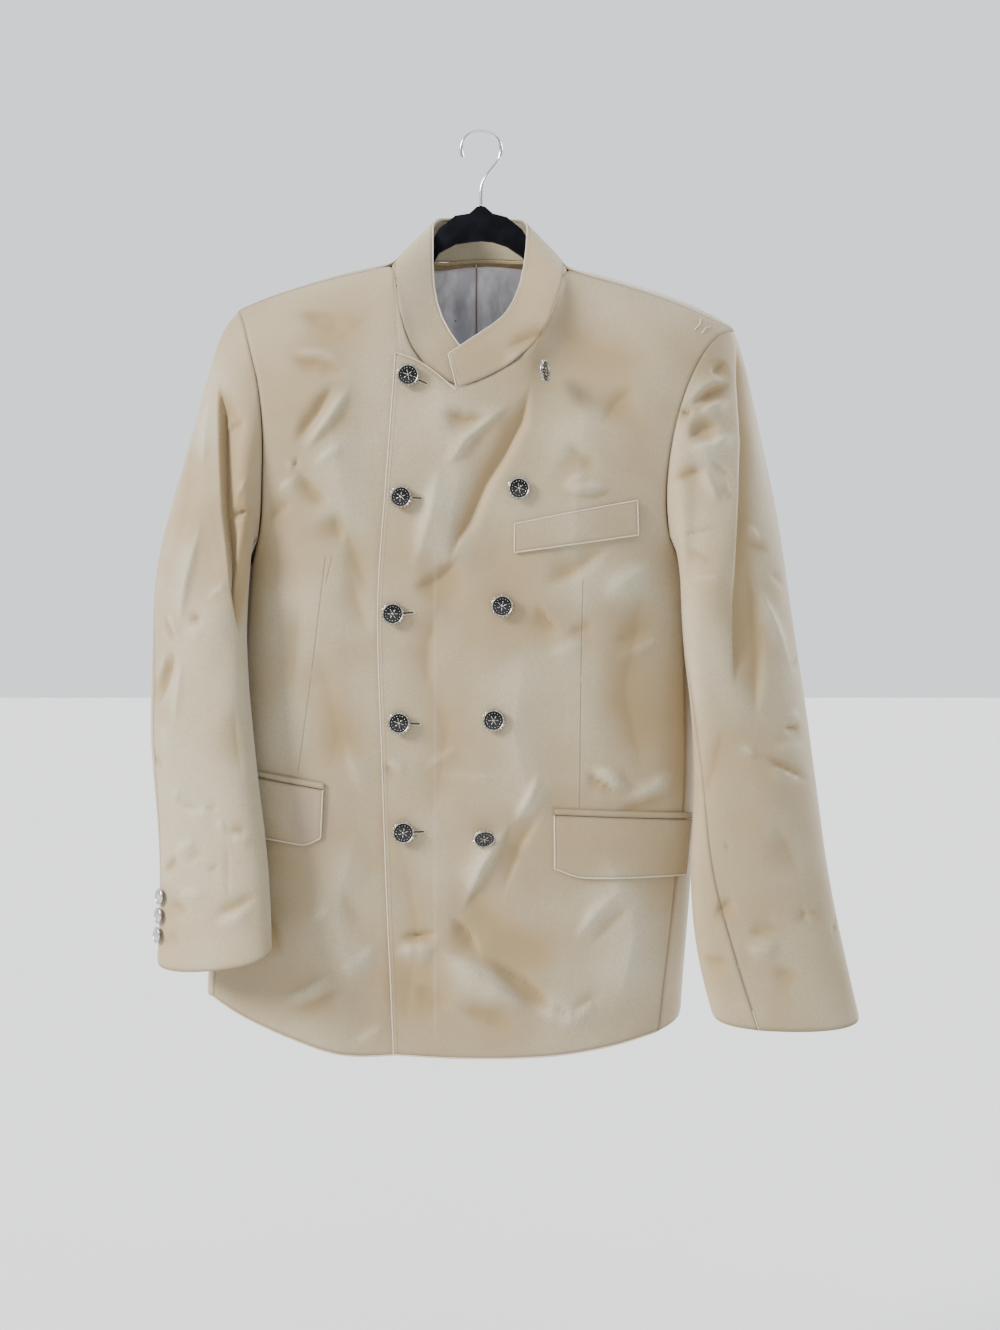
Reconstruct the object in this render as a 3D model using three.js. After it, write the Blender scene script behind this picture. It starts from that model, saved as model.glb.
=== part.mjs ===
// Tunic jacket on a slim hanger: a double-breasted cloth shell with a stand collar.
// Millimetres, +Z up, the front faces -Y, and the origin is the seat of the hook.
// Left and right are the wearer's, so left is +X.
import * as THREE from 'three';

// Driving dimensions
const CLOTH = 2;                 // wall of the jacket cloth
const COLLAR_WALL = 2.2;
const LINING_WALL = 1;
const SEAM_PULL = 0.2;           // each sewn edge stands back this far, so seams are open by about 0.3
const UNDERLAP_DIP = 5;          // the right front lies this far behind the left one where they lap
const DIP_FROM = -140;           // x where the right front starts to dip
const DIP_TO = -104;
const DIP_TOP = -182;            // height at which the dip starts, and over which it deepens
const DIP_FADE = 30;
const SECTION_POWER = 2.5;       // superellipse power of the body's level sections
const FRONT_ROUND = 120;         // height over which the front rounds away from the shoulder ridge
const BACK_ROUND = 65;
const RELAX_ROUNDS = 60;
const BACK_CROWDING = 1.35;      // above 1 the back's rows lie closer together at the shoulders
const SLEEVE_POWER = 2.25;
const BODY_CLEARANCE = 6.5;      // sleeve to body, below the armhole
const LAID_ON = 0.7;             // gap under a flap that lies on a panel

// Colours, as the cloth, satin, velvet and metal look
const LOOK = {
  cloth: { color: 0xc8b99b, roughness: 0.75, metalness: 0 },
  satin: { color: 0xaaa4ad, roughness: 0.35, metalness: 0 },
  velvet: { color: 0x07080c, roughness: 0.95, metalness: 0 },
  wire: { color: 0xd0d2d6, roughness: 0.2, metalness: 1 },
  button: { color: 0x6f6d6a, roughness: 0.35, metalness: 0.9 },
};

const jacket = new THREE.Group();

// The line of the shoulders from one sleeve head to the other, level with the neck in its middle
const RIDGE = [
  { x: -240, z: -176 },
  { x: -225, z: -164 },
  { x: -197, z: -152 },
  { x: -141, z: -133 },
  { x: -79, z: -116 },
  { x: -40, z: -95 },
  { x: 0, z: -85 },
  { x: 40, z: -97 },
  { x: 78, z: -119 },
  { x: 139, z: -137 },
  { x: 195, z: -156 },
  { x: 223, z: -171 },
  { x: 240, z: -184 },
];

// Level sections of the body: its two sides, and its depth before and behind the plane of the hanger
const SECTIONS = [
  { z: -870, left: -252, right: 186, front: 60, back: 58 },
  { z: -790, left: -256.5, right: 190, front: 62, back: 60 },
  { z: -717, left: -250, right: 196, front: 64, back: 61 },
  { z: -623, left: -241, right: 201, front: 66, back: 61 },
  { z: -530, left: -232, right: 201, front: 66, back: 60 },
  { z: -470, left: -226, right: 198, front: 65, back: 60 },
  { z: -413, left: -222, right: 197, front: 65, back: 60 },
  { z: -380, left: -232, right: 208, front: 65, back: 60 },
  { z: -340, left: -252, right: 228, front: 65, back: 60 },
  { z: -280, left: -275, right: 252, front: 65, back: 60 },
  { z: -220, left: -285, right: 268, front: 64, back: 59 },
  { z: -100, left: -292, right: 278, front: 62, back: 58 },
];

// Large folds of the fronts: middle, direction from level, length, half width, and height (a valley is below 0)
const FRONT_FOLDS = [
  { x: 30, z: -258, turn: -70, length: 60, width: 14, height: -3 },
  { x: -8, z: -352, turn: -62, length: 150, width: 15, height: -5 },
  { x: -36, z: -440, turn: -70, length: 150, width: 14, height: -3.5 },
  { x: -30, z: -300, turn: -50, length: 110, width: 20, height: 4 },
  { x: -58, z: -392, turn: -78, length: 120, width: 13, height: 4 },
  { x: 18, z: -690, turn: -58, length: 110, width: 14, height: 3.5 },
  { x: -20, z: -775, turn: -38, length: 130, width: 17, height: 5 },
  { x: -2, z: -742, turn: -36, length: 110, width: 13, height: -4 },
  { x: 110, z: -790, turn: -22, length: 120, width: 16, height: -2.5 },
  { x: -150, z: -262, turn: 48, length: 90, width: 11, height: 3 },
  { x: -150, z: -330, turn: -55, length: 80, width: 12, height: -3 },
  { x: -140, z: -205, turn: -30, length: 60, width: 13, height: -2 },
  { x: -160, z: -730, turn: 60, length: 120, width: 16, height: 2.5 },
  { x: 120, z: -470, turn: 75, length: 160, width: 20, height: 2.5 },
  { x: 60, z: -560, turn: -70, length: 120, width: 18, height: -2 },
];

// Large folds of the back, which hangs fuller from the shoulder blades
const BACK_FOLDS = [
  { x: 90, z: -420, turn: 78, length: 260, width: 20, height: 4 },
  { x: 45, z: -520, turn: -84, length: 240, width: 17, height: -4 },
  { x: -110, z: -430, turn: -76, length: 250, width: 19, height: 4 },
  { x: -75, z: -560, turn: 86, length: 230, width: 16, height: -4 },
  { x: 120, z: -700, turn: -70, length: 150, width: 16, height: 3 },
  { x: -140, z: -720, turn: 66, length: 150, width: 17, height: 3 },
  { x: 0, z: -210, turn: 4, length: 200, width: 14, height: -3 },
];

const clamp01 = (t) => Math.min(1, Math.max(0, t));
const ease = (t) => clamp01(t) ** 2 * (3 - 2 * clamp01(t));

// How far the right front lies behind the left one, below the top of the lap.
function lapSink(x, z) {
  return UNDERLAP_DIP * ease((x - DIP_FROM) / (DIP_TO - DIP_FROM)) * ease((DIP_TOP - z) / DIP_FADE);
}

// Value of one column of a table at a place along its key column, on a smooth curve through the rows.
function tableAt(rows, key, at, column) {
  const rising = rows[rows.length - 1][key] > rows[0][key];
  let i = 0;
  while (i < rows.length - 2 && (rising ? at > rows[i + 1][key] : at < rows[i + 1][key])) i += 1;
  const slope = (k) => {
    const a = rows[Math.max(0, k - 1)];
    const b = rows[Math.min(rows.length - 1, k + 1)];
    return (b[column] - a[column]) / (b[key] - a[key]);
  };
  const span = rows[i + 1][key] - rows[i][key];
  const t = clamp01((at - rows[i][key]) / span);
  const t2 = t * t;
  const t3 = t2 * t;
  return (2 * t3 - 3 * t2 + 1) * rows[i][column] + (t3 - 2 * t2 + t) * span * slope(i)
    + (3 * t2 - 2 * t3) * rows[i + 1][column] + (t3 - t2) * span * slope(i + 1);
}

const ridge = (x) => tableAt(RIDGE, 'x', x, 'z');

// The level section at a height: middle and half width on the side of x, and the two depths.
function section(x, z) {
  const left = tableAt(SECTIONS, 'z', z, 'left');
  const right = tableAt(SECTIONS, 'z', z, 'right');
  const middle = (left + right) / 2;
  return {
    middle,
    half: (right - left) / 2,
    front: tableAt(SECTIONS, 'z', z, 'front'),
    back: tableAt(SECTIONS, 'z', z, 'back'),
    u: Math.min(1, Math.abs(x - middle) / ((right - left) / 2)),
  };
}

// Share of the full depth that is left at x in the section.
const fullness = (u) => Math.max(0, 1 - u ** SECTION_POWER) ** (1 / SECTION_POWER);

// Height of a list of folds at a point of the cloth.
function foldHeight(folds, x, z) {
  return folds.reduce((sum, f) => {
    const turn = THREE.MathUtils.degToRad(f.turn);
    const along = (x - f.x) * Math.cos(turn) + (z - f.z) * Math.sin(turn);
    const across = (z - f.z) * Math.cos(turn) - (x - f.x) * Math.sin(turn);
    return sum + f.height * Math.exp(-((along / (f.length / 2)) ** 2) - (across / f.width) ** 2);
  }, 0);
}

// The body is one surface of two coordinates: x, and an angle over the shoulder ridge.
// The angle is 0 on the ridge, grows down the front, and is negative down the back.
function overRidge(x, angle) {
  const turned = Math.abs(angle);
  const round = angle > 0 ? FRONT_ROUND : BACK_ROUND;
  const quarter = Math.PI / 2;
  const fall = turned < quarter ? round * (1 - Math.cos(turned)) : round * (1 + turned - quarter);
  const z = ridge(x) - fall;
  const s = section(x, z);
  const share = fullness(s.u) * (turned < quarter ? Math.sin(turned) : 1);
  const held = clamp01((fullness(s.u) - 0.45) / 0.25) * clamp01((turned - 0.5) / 0.6);
  if (angle > 0) {
    return new THREE.Vector3(x, -s.front * share - held * foldHeight(FRONT_FOLDS, x, z), z);
  }
  return new THREE.Vector3(x, s.back * share + held * foldHeight(BACK_FOLDS, x, z), z);
}

// Angle over the ridge of the front or back surface at a height.
function angleAt(x, z, round) {
  const fall = Math.max(0, ridge(x) - z);
  return fall < round ? Math.acos(1 - fall / round) : Math.PI / 2 + (fall - round) / round;
}

const onFront = (x, z) => new THREE.Vector2(x, angleAt(x, z, FRONT_ROUND));
const onBack = (x, z) => new THREE.Vector2(x, -angleAt(x, z, BACK_ROUND));

// Outward normal of the body surface, from two short steps on it.
function bodyNormal(x, angle) {
  const dx = overRidge(x + 0.5, angle).sub(overRidge(x - 0.5, angle));
  const da = overRidge(x, angle + 0.01).sub(overRidge(x, angle - 0.01));
  return da.cross(dx).normalize();
}

// Points on a smooth curve through a short list of 2-D points, evenly spaced or crowded by a share.
function spaced(points, count, share = (t) => t) {
  const curve = new THREE.CatmullRomCurve3(points.map((p) => new THREE.Vector3(p.x, p.y * 100, 0)));
  return Array.from({ length: count + 1 }, (_, i) => {
    const p = curve.getPointAt(share(i / count));
    return new THREE.Vector2(p.x, p.y / 100);
  });
}

// Points spaced evenly by x and z along a hem, far below the ridge, before they are laid on the surface.
function hemPoints(rows, count, lay) {
  const curve = new THREE.CatmullRomCurve3(rows.map((p) => new THREE.Vector3(p.x, p.z, 0)));
  return Array.from({ length: count + 1 }, (_, i) => {
    const p = curve.getPointAt(i / count);
    return lay(p.x, p.y);
  });
}

const joined = (...runs) => runs.flatMap((run, i) => (i ? run.slice(1) : run));

// A patch between four edges whose ends meet: bottom and top run the same way, so do left and right.
function patch(bottom, top, left, right, share = (t) => t) {
  const nu = bottom.length - 1;
  const nv = left.length - 1;
  return left.map((l, k) => bottom.map((b, i) => {
    const u = i / nu;
    const v = share(k / nv);
    const p = b.clone().multiplyScalar(1 - v).addScaledVector(top[i], v);
    p.addScaledVector(l, 1 - u).addScaledVector(right[k], u);
    p.addScaledVector(bottom[0], -(1 - u) * (1 - v)).addScaledVector(bottom[nu], -u * (1 - v));
    return p.addScaledVector(top[0], -(1 - u) * v).addScaledVector(top[nu], -u * v);
  }));
}

// Moves the points of an edge of a grid a little way into the piece, which opens the seam there.
function pullEdges(grid, pull = SEAM_PULL) {
  const rows = grid.length;
  const columns = grid[0].length;
  const out = grid.map((row) => row.map((p) => p.clone()));
  const towards = (k, i, kIn, iIn) => {
    out[k][i].addScaledVector(grid[kIn][iIn].clone().sub(grid[k][i]).normalize(), pull);
  };
  for (let i = 0; i < columns; i += 1) {
    towards(0, i, 1, i);
    towards(rows - 1, i, rows - 2, i);
  }
  for (let k = 0; k < rows; k += 1) {
    towards(k, 0, k, 1);
    towards(k, columns - 1, k, columns - 2);
  }
  return out;
}

// Unit normals of a grid of points from its neighbours; the sign is that of rows crossed with columns.
function gridNormals(grid) {
  const last = grid.length - 1;
  return grid.map((row, k) => row.map((p, i) => {
    const along = row[Math.min(row.length - 1, i + 1)].clone().sub(row[Math.max(0, i - 1)]);
    const up = grid[Math.min(last, k + 1)][i].clone().sub(grid[Math.max(0, k - 1)][i]);
    return along.cross(up).normalize();
  }));
}

// A closed wall: the grid is its outer face, and each point moved back along its normal its inner face.
function wall(grid, normals, thickness) {
  const rows = grid.length;
  const columns = grid[0].length;
  const positions = [];
  const put = (p) => positions.push(p.x, p.y, p.z);
  grid.forEach((row) => row.forEach(put));
  grid.forEach((row, k) => row.forEach((p, i) => {
    put(p.clone().addScaledVector(normals[k][i], -thickness));
  }));
  const inner = rows * columns;
  const at = (k, i) => k * columns + i;
  const faces = [];
  const quad = (a, b, c, d) => faces.push(a, b, c, a, c, d);
  for (let k = 0; k < rows - 1; k += 1) {
    for (let i = 0; i < columns - 1; i += 1) {
      quad(at(k, i), at(k, i + 1), at(k + 1, i + 1), at(k + 1, i));
      quad(inner + at(k, i), inner + at(k + 1, i), inner + at(k + 1, i + 1), inner + at(k, i + 1));
    }
  }
  const rim = [];
  for (let i = 0; i < columns - 1; i += 1) rim.push(at(0, i));
  for (let k = 0; k < rows - 1; k += 1) rim.push(at(k, columns - 1));
  for (let i = columns - 1; i > 0; i -= 1) rim.push(at(rows - 1, i));
  for (let k = rows - 1; k > 0; k -= 1) rim.push(at(k, 0));
  rim.forEach((a, i) => {
    const b = rim[(i + 1) % rim.length];
    quad(a, inner + a, inner + b, b);
  });
  return closedGeometry(positions, faces);
}

// A geometry whose faces point out, turned round if its volume comes out negative.
function closedGeometry(positions, faces) {
  let volume = 0;
  const corner = (i) => new THREE.Vector3().fromArray(positions, 3 * i);
  for (let f = 0; f < faces.length; f += 3) {
    volume += corner(faces[f]).dot(corner(faces[f + 1]).cross(corner(faces[f + 2])));
  }
  const geometry = new THREE.BufferGeometry();
  geometry.setAttribute('position', new THREE.Float32BufferAttribute(positions, 3));
  geometry.setIndex(volume < 0 ? faces.reverse() : faces);
  geometry.computeVertexNormals();
  return geometry;
}

function add(name, geometry, look) {
  const mesh = new THREE.Mesh(geometry, new THREE.MeshStandardMaterial(LOOK[look]));
  mesh.name = name;
  jacket.add(mesh);
  return mesh;
}

// A body panel from a grid of (x, angle) coordinates; sink moves points in, such as an underlap's.
function addPanel(name, coordinates, sink = () => 0) {
  const normals = coordinates.map((row) => row.map((c) => bodyNormal(c.x, c.y)));
  const grid = coordinates.map((row, k) => row.map((c, i) => {
    const p = overRidge(c.x, c.y);
    return p.addScaledVector(normals[k][i], -sink(p.x, p.z));
  }));
  add(name, wall(pullEdges(grid), normals, CLOTH), 'cloth');
}

// Edges of the pattern. Fronts are given by x and z as seen from the front, back edges as seen from behind.
const frontPoints = (rows) => rows.map((p) => onFront(p.x, p.z));
const backPoints = (rows) => rows.map((p) => onBack(p.x, p.z));

const NECK_POINT = { left: { x: 77, z: -131 }, right: { x: -79.6, z: -127 } };
const SHOULDER_TIP = { left: { x: 235, z: -187 }, right: { x: -225, z: -169 } };
const CENTRE_BACK = [
  { x: -33, z: -803 },
  { x: -27, z: -600 },
  { x: -14, z: -400 },
  { x: -5, z: -111 },
];

const FRONT_EDGE = [
  { x: -78.7, z: -850 },
  { x: -84, z: -729 },
  { x: -88.8, z: -592 },
  { x: -92.9, z: -440 },
  { x: -86.6, z: -347 },
  { x: -79.3, z: -248 },
  { x: -77.2, z: -214.5 },
];
const LAPEL_TOP = [
  { x: -77.2, z: -214.5 },
  { x: -61.5, z: -219 },
  { x: -44, z: -230 },
  { x: -22, z: -249 },
];
const NECK_LEFT = [
  { x: -22, z: -249 },
  { x: 8, z: -238 },
  { x: 34, z: -221 },
  { x: 56, z: -199 },
  { x: 69, z: -171 },
  { x: 76, z: -143 },
  NECK_POINT.left,
];
const SHOULDER_LEFT = [NECK_POINT.left, { x: 147, z: -152 }, { x: 217, z: -180 }, SHOULDER_TIP.left];
const ARMHOLE_FRONT_LEFT = [
  SHOULDER_TIP.left,
  { x: 203, z: -213 },
  { x: 186, z: -249 },
  { x: 175, z: -288 },
  { x: 169, z: -335 },
  { x: 172, z: -380 },
  { x: 186, z: -404 },
];
const ARMHOLE_BACK_LEFT = [
  { x: 186, z: -404 },
  { x: 171, z: -375 },
  { x: 169, z: -320 },
  { x: 180, z: -260 },
  { x: 204, z: -210 },
  { x: 226, z: -181 },
];
const SIDE_SEAM_LEFT = [
  { x: 163, z: -833 },
  { x: 171, z: -761 },
  { x: 179, z: -693 },
  { x: 187, z: -620 },
  { x: 188, z: -545 },
  { x: 187, z: -470 },
  { x: 186, z: -404 },
];
const BACK_SEAM_LEFT = [
  { x: 160, z: -803 },
  { x: 171, z: -700 },
  { x: 177, z: -600 },
  { x: 176, z: -500 },
  { x: 186, z: -404 },
];
const HEM_LEFT = [
  { x: -78.7, z: -850 },
  { x: -23, z: -853 },
  { x: 63, z: -852 },
  { x: 120, z: -844 },
  { x: 163, z: -833 },
];

const UNDERLAP_EDGE = [
  { x: 20, z: -846 },
  { x: 16, z: -600 },
  { x: 20, z: -400 },
  { x: 16, z: -256 },
];
const NECK_RIGHT = [
  { x: 16, z: -256 },
  { x: -12, z: -250 },
  { x: -34, z: -241 },
  { x: -52, z: -226 },
  { x: -67, z: -202 },
  { x: -75, z: -174 },
  { x: -79, z: -145 },
  NECK_POINT.right,
];
const SHOULDER_RIGHT = [NECK_POINT.right, { x: -140, z: -141 }, { x: -205, z: -160 }, SHOULDER_TIP.right];
const ARMHOLE_FRONT_RIGHT = [
  SHOULDER_TIP.right,
  { x: -211, z: -210 },
  { x: -203, z: -239 },
  { x: -198, z: -285 },
  { x: -199, z: -335 },
  { x: -201, z: -375 },
  { x: -211, z: -404 },
];
const ARMHOLE_BACK_RIGHT = [
  { x: -211, z: -404 },
  { x: -199, z: -375 },
  { x: -194, z: -320 },
  { x: -197, z: -255 },
  { x: -209, z: -200 },
  { x: -222, z: -168 },
];
const SIDE_SEAM_RIGHT = [
  { x: -247, z: -803 },
  { x: -241, z: -740 },
  { x: -231, z: -640 },
  { x: -219, z: -530 },
  { x: -211, z: -404 },
];
const BACK_SEAM_RIGHT = [
  { x: -226, z: -803 },
  { x: -226, z: -700 },
  { x: -217, z: -600 },
  { x: -204, z: -500 },
  { x: -211, z: -404 },
];
const HEM_RIGHT = [
  { x: 20, z: -846 },
  { x: -60, z: -850 },
  { x: -122, z: -852 },
  { x: -172, z: -837 },
  { x: -225, z: -815 },
  { x: -247, z: -803 },
];

// Steps along each kind of edge, shared by the pieces that meet there
const STEPS = { lapel: 3, neck: 8, shoulder: 7, backNeck: 5, frontArmhole: 12, backArmhole: 9, side: 12, underarm: 4 };

// The back neck runs from the centre-back seam over the ridge to the neck point on the shoulder seam.
function backNeck(side) {
  const sign = side === 'left' ? 1 : -1;
  const point = NECK_POINT[side];
  return spaced([
    onBack(CENTRE_BACK[3].x, CENTRE_BACK[3].z),
    new THREE.Vector2(-5 + sign * 36, -0.8),
    new THREE.Vector2(sign * 60, -0.48),
    new THREE.Vector2(sign * 74.5, -0.12),
    new THREE.Vector2(point.x, 0.2),
    onFront(point.x, point.z),
  ], STEPS.backNeck);
}

// The back's armhole crosses the ridge at its last point but one, and ends at the shoulder tip before it.
function backArmhole(rows, side) {
  const tip = SHOULDER_TIP[side];
  const crossing = new THREE.Vector2(tip.x - Math.sign(tip.x), 0);
  return [...spaced([...backPoints(rows), crossing], STEPS.backArmhole - 1), onFront(tip.x, tip.z)];
}

function addFronts() {
  const rows = STEPS.side + STEPS.frontArmhole;
  const leftEdge = (seam, armhole) => joined(
    spaced(frontPoints(seam), STEPS.side),
    spaced(frontPoints(armhole), STEPS.frontArmhole).reverse(),
  );
  const leftTop = joined(
    spaced(frontPoints(LAPEL_TOP), STEPS.lapel),
    spaced(frontPoints(NECK_LEFT), STEPS.neck),
    spaced(frontPoints(SHOULDER_LEFT), STEPS.shoulder),
  );
  addPanel('front_left', patch(
    hemPoints(HEM_LEFT, leftTop.length - 1, onFront),
    leftTop,
    spaced(frontPoints(FRONT_EDGE), rows),
    leftEdge(SIDE_SEAM_LEFT, ARMHOLE_FRONT_LEFT),
  ));
  const rightTop = joined(
    spaced(frontPoints(NECK_RIGHT), STEPS.neck),
    spaced(frontPoints(SHOULDER_RIGHT), STEPS.shoulder),
  );
  addPanel('front_right', patch(
    hemPoints(HEM_RIGHT, rightTop.length - 1, onFront),
    rightTop,
    spaced(frontPoints(UNDERLAP_EDGE), rows),
    leftEdge(SIDE_SEAM_RIGHT, ARMHOLE_FRONT_RIGHT),
  ), lapSink);
}

// Evens out a patch: each point inside it moves to the middle of its four neighbours, but for those that stay.
function relax(grid, staying) {
  for (let round = 0; round < RELAX_ROUNDS; round += 1) {
    for (let k = 1; k < grid.length - 1; k += 1) {
      for (let i = 1; i < grid[k].length - 1; i += 1) {
        if (staying.has(grid[k][i])) continue;
        grid[k][i].copy(grid[k][i - 1]).add(grid[k][i + 1]).add(grid[k - 1][i]).add(grid[k + 1][i]);
        grid[k][i].multiplyScalar(0.25);
      }
    }
  }
}

function addBack(side, hem, seam, armhole, shoulder) {
  const top = joined(backNeck(side), spaced(frontPoints(shoulder), STEPS.shoulder));
  const crowded = (t) => 1 - (1 - t) ** BACK_CROWDING;
  const grid = patch(
    hemPoints(hem, top.length - 1, onBack),
    top,
    spaced(backPoints(CENTRE_BACK), STEPS.side + STEPS.backArmhole, crowded),
    joined(spaced(backPoints(seam), STEPS.side), backArmhole(armhole, side)),
    crowded,
  );
  const belowSeam = grid[grid.length - 2];
  const onRidge = belowSeam.slice(STEPS.backNeck + 1);
  onRidge.forEach((c) => c.setY(0));
  relax(grid, new Set(onRidge));
  addPanel('back_' + side, grid);
}

// Point of the body's level section at an angle round it, from the side (0) to the front (+) or back (-).
function roundSection(side, z, angle) {
  const s = section(0, z);
  const sign = side === 'left' ? 1 : -1;
  const depth = angle > 0 ? s.front : s.back;
  const power = 2 / SECTION_POWER;
  return new THREE.Vector3(
    s.middle + sign * s.half * Math.cos(angle) ** power,
    -Math.sign(angle) * depth * Math.abs(Math.sin(angle)) ** power,
    z,
  );
}

// Angle round the level section of a seam that is given by x and z.
function sectionAngle(x, z) {
  return Math.acos(clamp01(section(x, z).u ** (SECTION_POWER / 2)));
}

// A side body reaches from the front's side seam round to the back's; its top is the underarm.
function sideGrid(side, frontSeam, backSeam, underarmZ) {
  const front = spaced(frontPoints(frontSeam), STEPS.side).map((c) => overRidge(c.x, c.y));
  const back = spaced(backPoints(backSeam), STEPS.side).map((c) => overRidge(c.x, c.y));
  const seamZ = front[STEPS.side].z;
  return front.map((f, k) => {
    const from = sectionAngle(f.x, f.z);
    const to = -sectionAngle(back[k].x, back[k].z);
    const row = [];
    for (let i = 0; i <= STEPS.underarm; i += 1) {
      const t = i / STEPS.underarm;
      const scoop = (seamZ - underarmZ) * Math.sin(Math.PI * t) * ease((k / STEPS.side - 0.7) / 0.3);
      const z = f.z + (back[k].z - f.z) * t - scoop;
      row.push(roundSection(side, z, from + (to - from) * t));
    }
    row[0].copy(f);
    row[STEPS.underarm].copy(back[k]);
    return row;
  });
}

// Outward normal of the level section at a point on it.
function sectionNormal(p) {
  const s = section(p.x, p.z);
  const depth = p.y < 0 ? s.front : s.back;
  const flat = s.u ** (SECTION_POWER - 1) / s.half;
  const round = (Math.abs(p.y) / depth) ** (SECTION_POWER - 1) / depth;
  return new THREE.Vector3(Math.sign(p.x) * flat, Math.sign(p.y) * round, 0).normalize();
}

function addSide(side, grid) {
  const normals = grid.map((row) => row.map(sectionNormal));
  add('side_' + side, wall(pullEdges(grid), normals, CLOTH), 'cloth');
}

// The armhole as one loop of points with the body's normals: from the tip down the front,
// round the underarm and up the back.
function armholeLoop(frontRows, side, underarm, backRows) {
  const front = spaced(frontPoints(frontRows), STEPS.frontArmhole);
  const back = backArmhole(backRows, side);
  const onBody = (c) => ({ point: overRidge(c.x, c.y), normal: bodyNormal(c.x, c.y) });
  const under = underarm.slice(1, -1).map((point) => ({
    point,
    normal: new THREE.Vector3(Math.sign(point.x), 0, 0),
  }));
  return [...front.map(onBody), ...under, ...back.slice(0, -1).map(onBody)];
}

// Sleeve rings from the armhole to the cuff. Each ring has its outer and inner ends, its bulge before
// and behind the line between them, and how far the seams have turned round it, in degrees.
const SLEEVE_LEFT = [
  { v: 0, ox: 236, oz: -180, oy: -12, ix: 173, iz: -388, iy: -42, front: 26, back: 66, turn: 0 },
  { v: 0.08, ox: 246, oz: -211, oy: -11, ix: 179, iz: -404, iy: -47, front: 29, back: 58, turn: 0 },
  { v: 0.18, ox: 261, oz: -283, oy: -10, ix: 181, iz: -421, iy: -50, front: 31, back: 50, turn: 0 },
  { v: 0.3, ox: 277, oz: -370, oy: -12, ix: 182, iz: -447, iy: -50, front: 32, back: 46, turn: 0 },
  { v: 0.42, ox: 289, oz: -456, oy: -14, ix: 185, iz: -490, iy: -51, front: 31, back: 43, turn: -4 },
  { v: 0.54, ox: 300, oz: -530, oy: -18, ix: 191, iz: -540, iy: -52, front: 29, back: 40, turn: -12 },
  { v: 0.66, ox: 310, oz: -610, oy: -24, ix: 194, iz: -612, iy: -52, front: 27, back: 37, turn: -28 },
  { v: 0.8, ox: 321, oz: -695, oy: -30, ix: 190, iz: -690, iy: -52, front: 24, back: 32, turn: -46 },
  { v: 0.91, ox: 336, oz: -770, oy: -36, ix: 196, iz: -760, iy: -53, front: 21, back: 27, turn: -60 },
  { v: 1, ox: 347, oz: -819, oy: -40, ix: 210, iz: -814, iy: -54, front: 19, back: 23, turn: -66 },
];
const SLEEVE_RIGHT = [
  { v: 0, ox: -226, oz: -166, oy: -12, ix: -201, iz: -388, iy: -42, front: 26, back: 66, turn: 0 },
  { v: 0.08, ox: -243, oz: -193, oy: -10, ix: -207, iz: -405, iy: -47, front: 30, back: 58, turn: 8 },
  { v: 0.18, ox: -262, oz: -262, oy: -10, ix: -210, iz: -421, iy: -52, front: 33, back: 50, turn: 24 },
  { v: 0.3, ox: -282, oz: -332, oy: -12, ix: -211, iz: -448, iy: -55, front: 34, back: 46, turn: 46 },
  { v: 0.42, ox: -300, oz: -410, oy: -17, ix: -211, iz: -478, iy: -58, front: 34, back: 44, turn: 68 },
  { v: 0.54, ox: -303, oz: -500, oy: -23, ix: -208, iz: -525, iy: -62, front: 33, back: 42, turn: 80 },
  { v: 0.66, ox: -303, oz: -570, oy: -29, ix: -200, iz: -595, iy: -70, front: 31, back: 38, turn: 80 },
  { v: 0.8, ox: -295, oz: -650, oy: -36, ix: -190, iz: -670, iy: -78, front: 28, back: 34, turn: 74 },
  { v: 0.91, ox: -293, oz: -712, oy: -41, ix: -186, iz: -725, iy: -84, front: 25, back: 30, turn: 64 },
  { v: 1, ox: -295, oz: -766, oy: -45, ix: -185, iz: -750, iy: -88, front: 23, back: 27, turn: 56 },
];

// Large folds of a sleeve: place round it in degrees (0 outside, 90 front) and along it, slant, and sizes.
const SLEEVE_FOLDS_LEFT = [
  { round: 118, z: -345, slant: -52, length: 110, width: 12, height: -5 },
  { round: 95, z: -395, slant: -50, length: 120, width: 13, height: 4 },
  { round: 70, z: -450, slant: -58, length: 130, width: 13, height: -4 },
  { round: 80, z: -620, slant: -82, length: 160, width: 16, height: 3.5 },
  { round: 130, z: -480, slant: 80, length: 150, width: 12, height: -3.5 },
  { round: 75, z: -560, slant: 25, length: 90, width: 11, height: -3.5 },
  { round: 45, z: -585, slant: -20, length: 80, width: 11, height: 3 },
  { round: 85, z: -735, slant: 20, length: 70, width: 13, height: -3 },
  { round: 290, z: -430, slant: 62, length: 120, width: 14, height: -5 },
  { round: 270, z: -560, slant: -30, length: 100, width: 14, height: -4 },
  { round: 300, z: -660, slant: 50, length: 90, width: 14, height: 3 },
];
const SLEEVE_FOLDS_RIGHT = [
  { round: 80, z: -290, slant: 82, length: 130, width: 12, height: -5 },
  { round: 98, z: -390, slant: 72, length: 170, width: 12, height: -7 },
  { round: 126, z: -470, slant: 60, length: 150, width: 13, height: -5 },
  { round: 62, z: -420, slant: 80, length: 160, width: 15, height: 4 },
  { round: 35, z: -520, slant: -40, length: 80, width: 11, height: -3 },
  { round: 90, z: -625, slant: -15, length: 90, width: 12, height: -3 },
  { round: 75, z: -690, slant: -20, length: 80, width: 13, height: 3 },
  { round: 280, z: -420, slant: -62, length: 120, width: 14, height: -5 },
  { round: 250, z: -560, slant: 30, length: 100, width: 14, height: -4 },
];
const FOLD_ARC = 62;             // mean radius that turns degrees round a sleeve into millimetres
const CAP_END = 0.3;             // share of the sleeve over which the armhole's shape fades out
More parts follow.
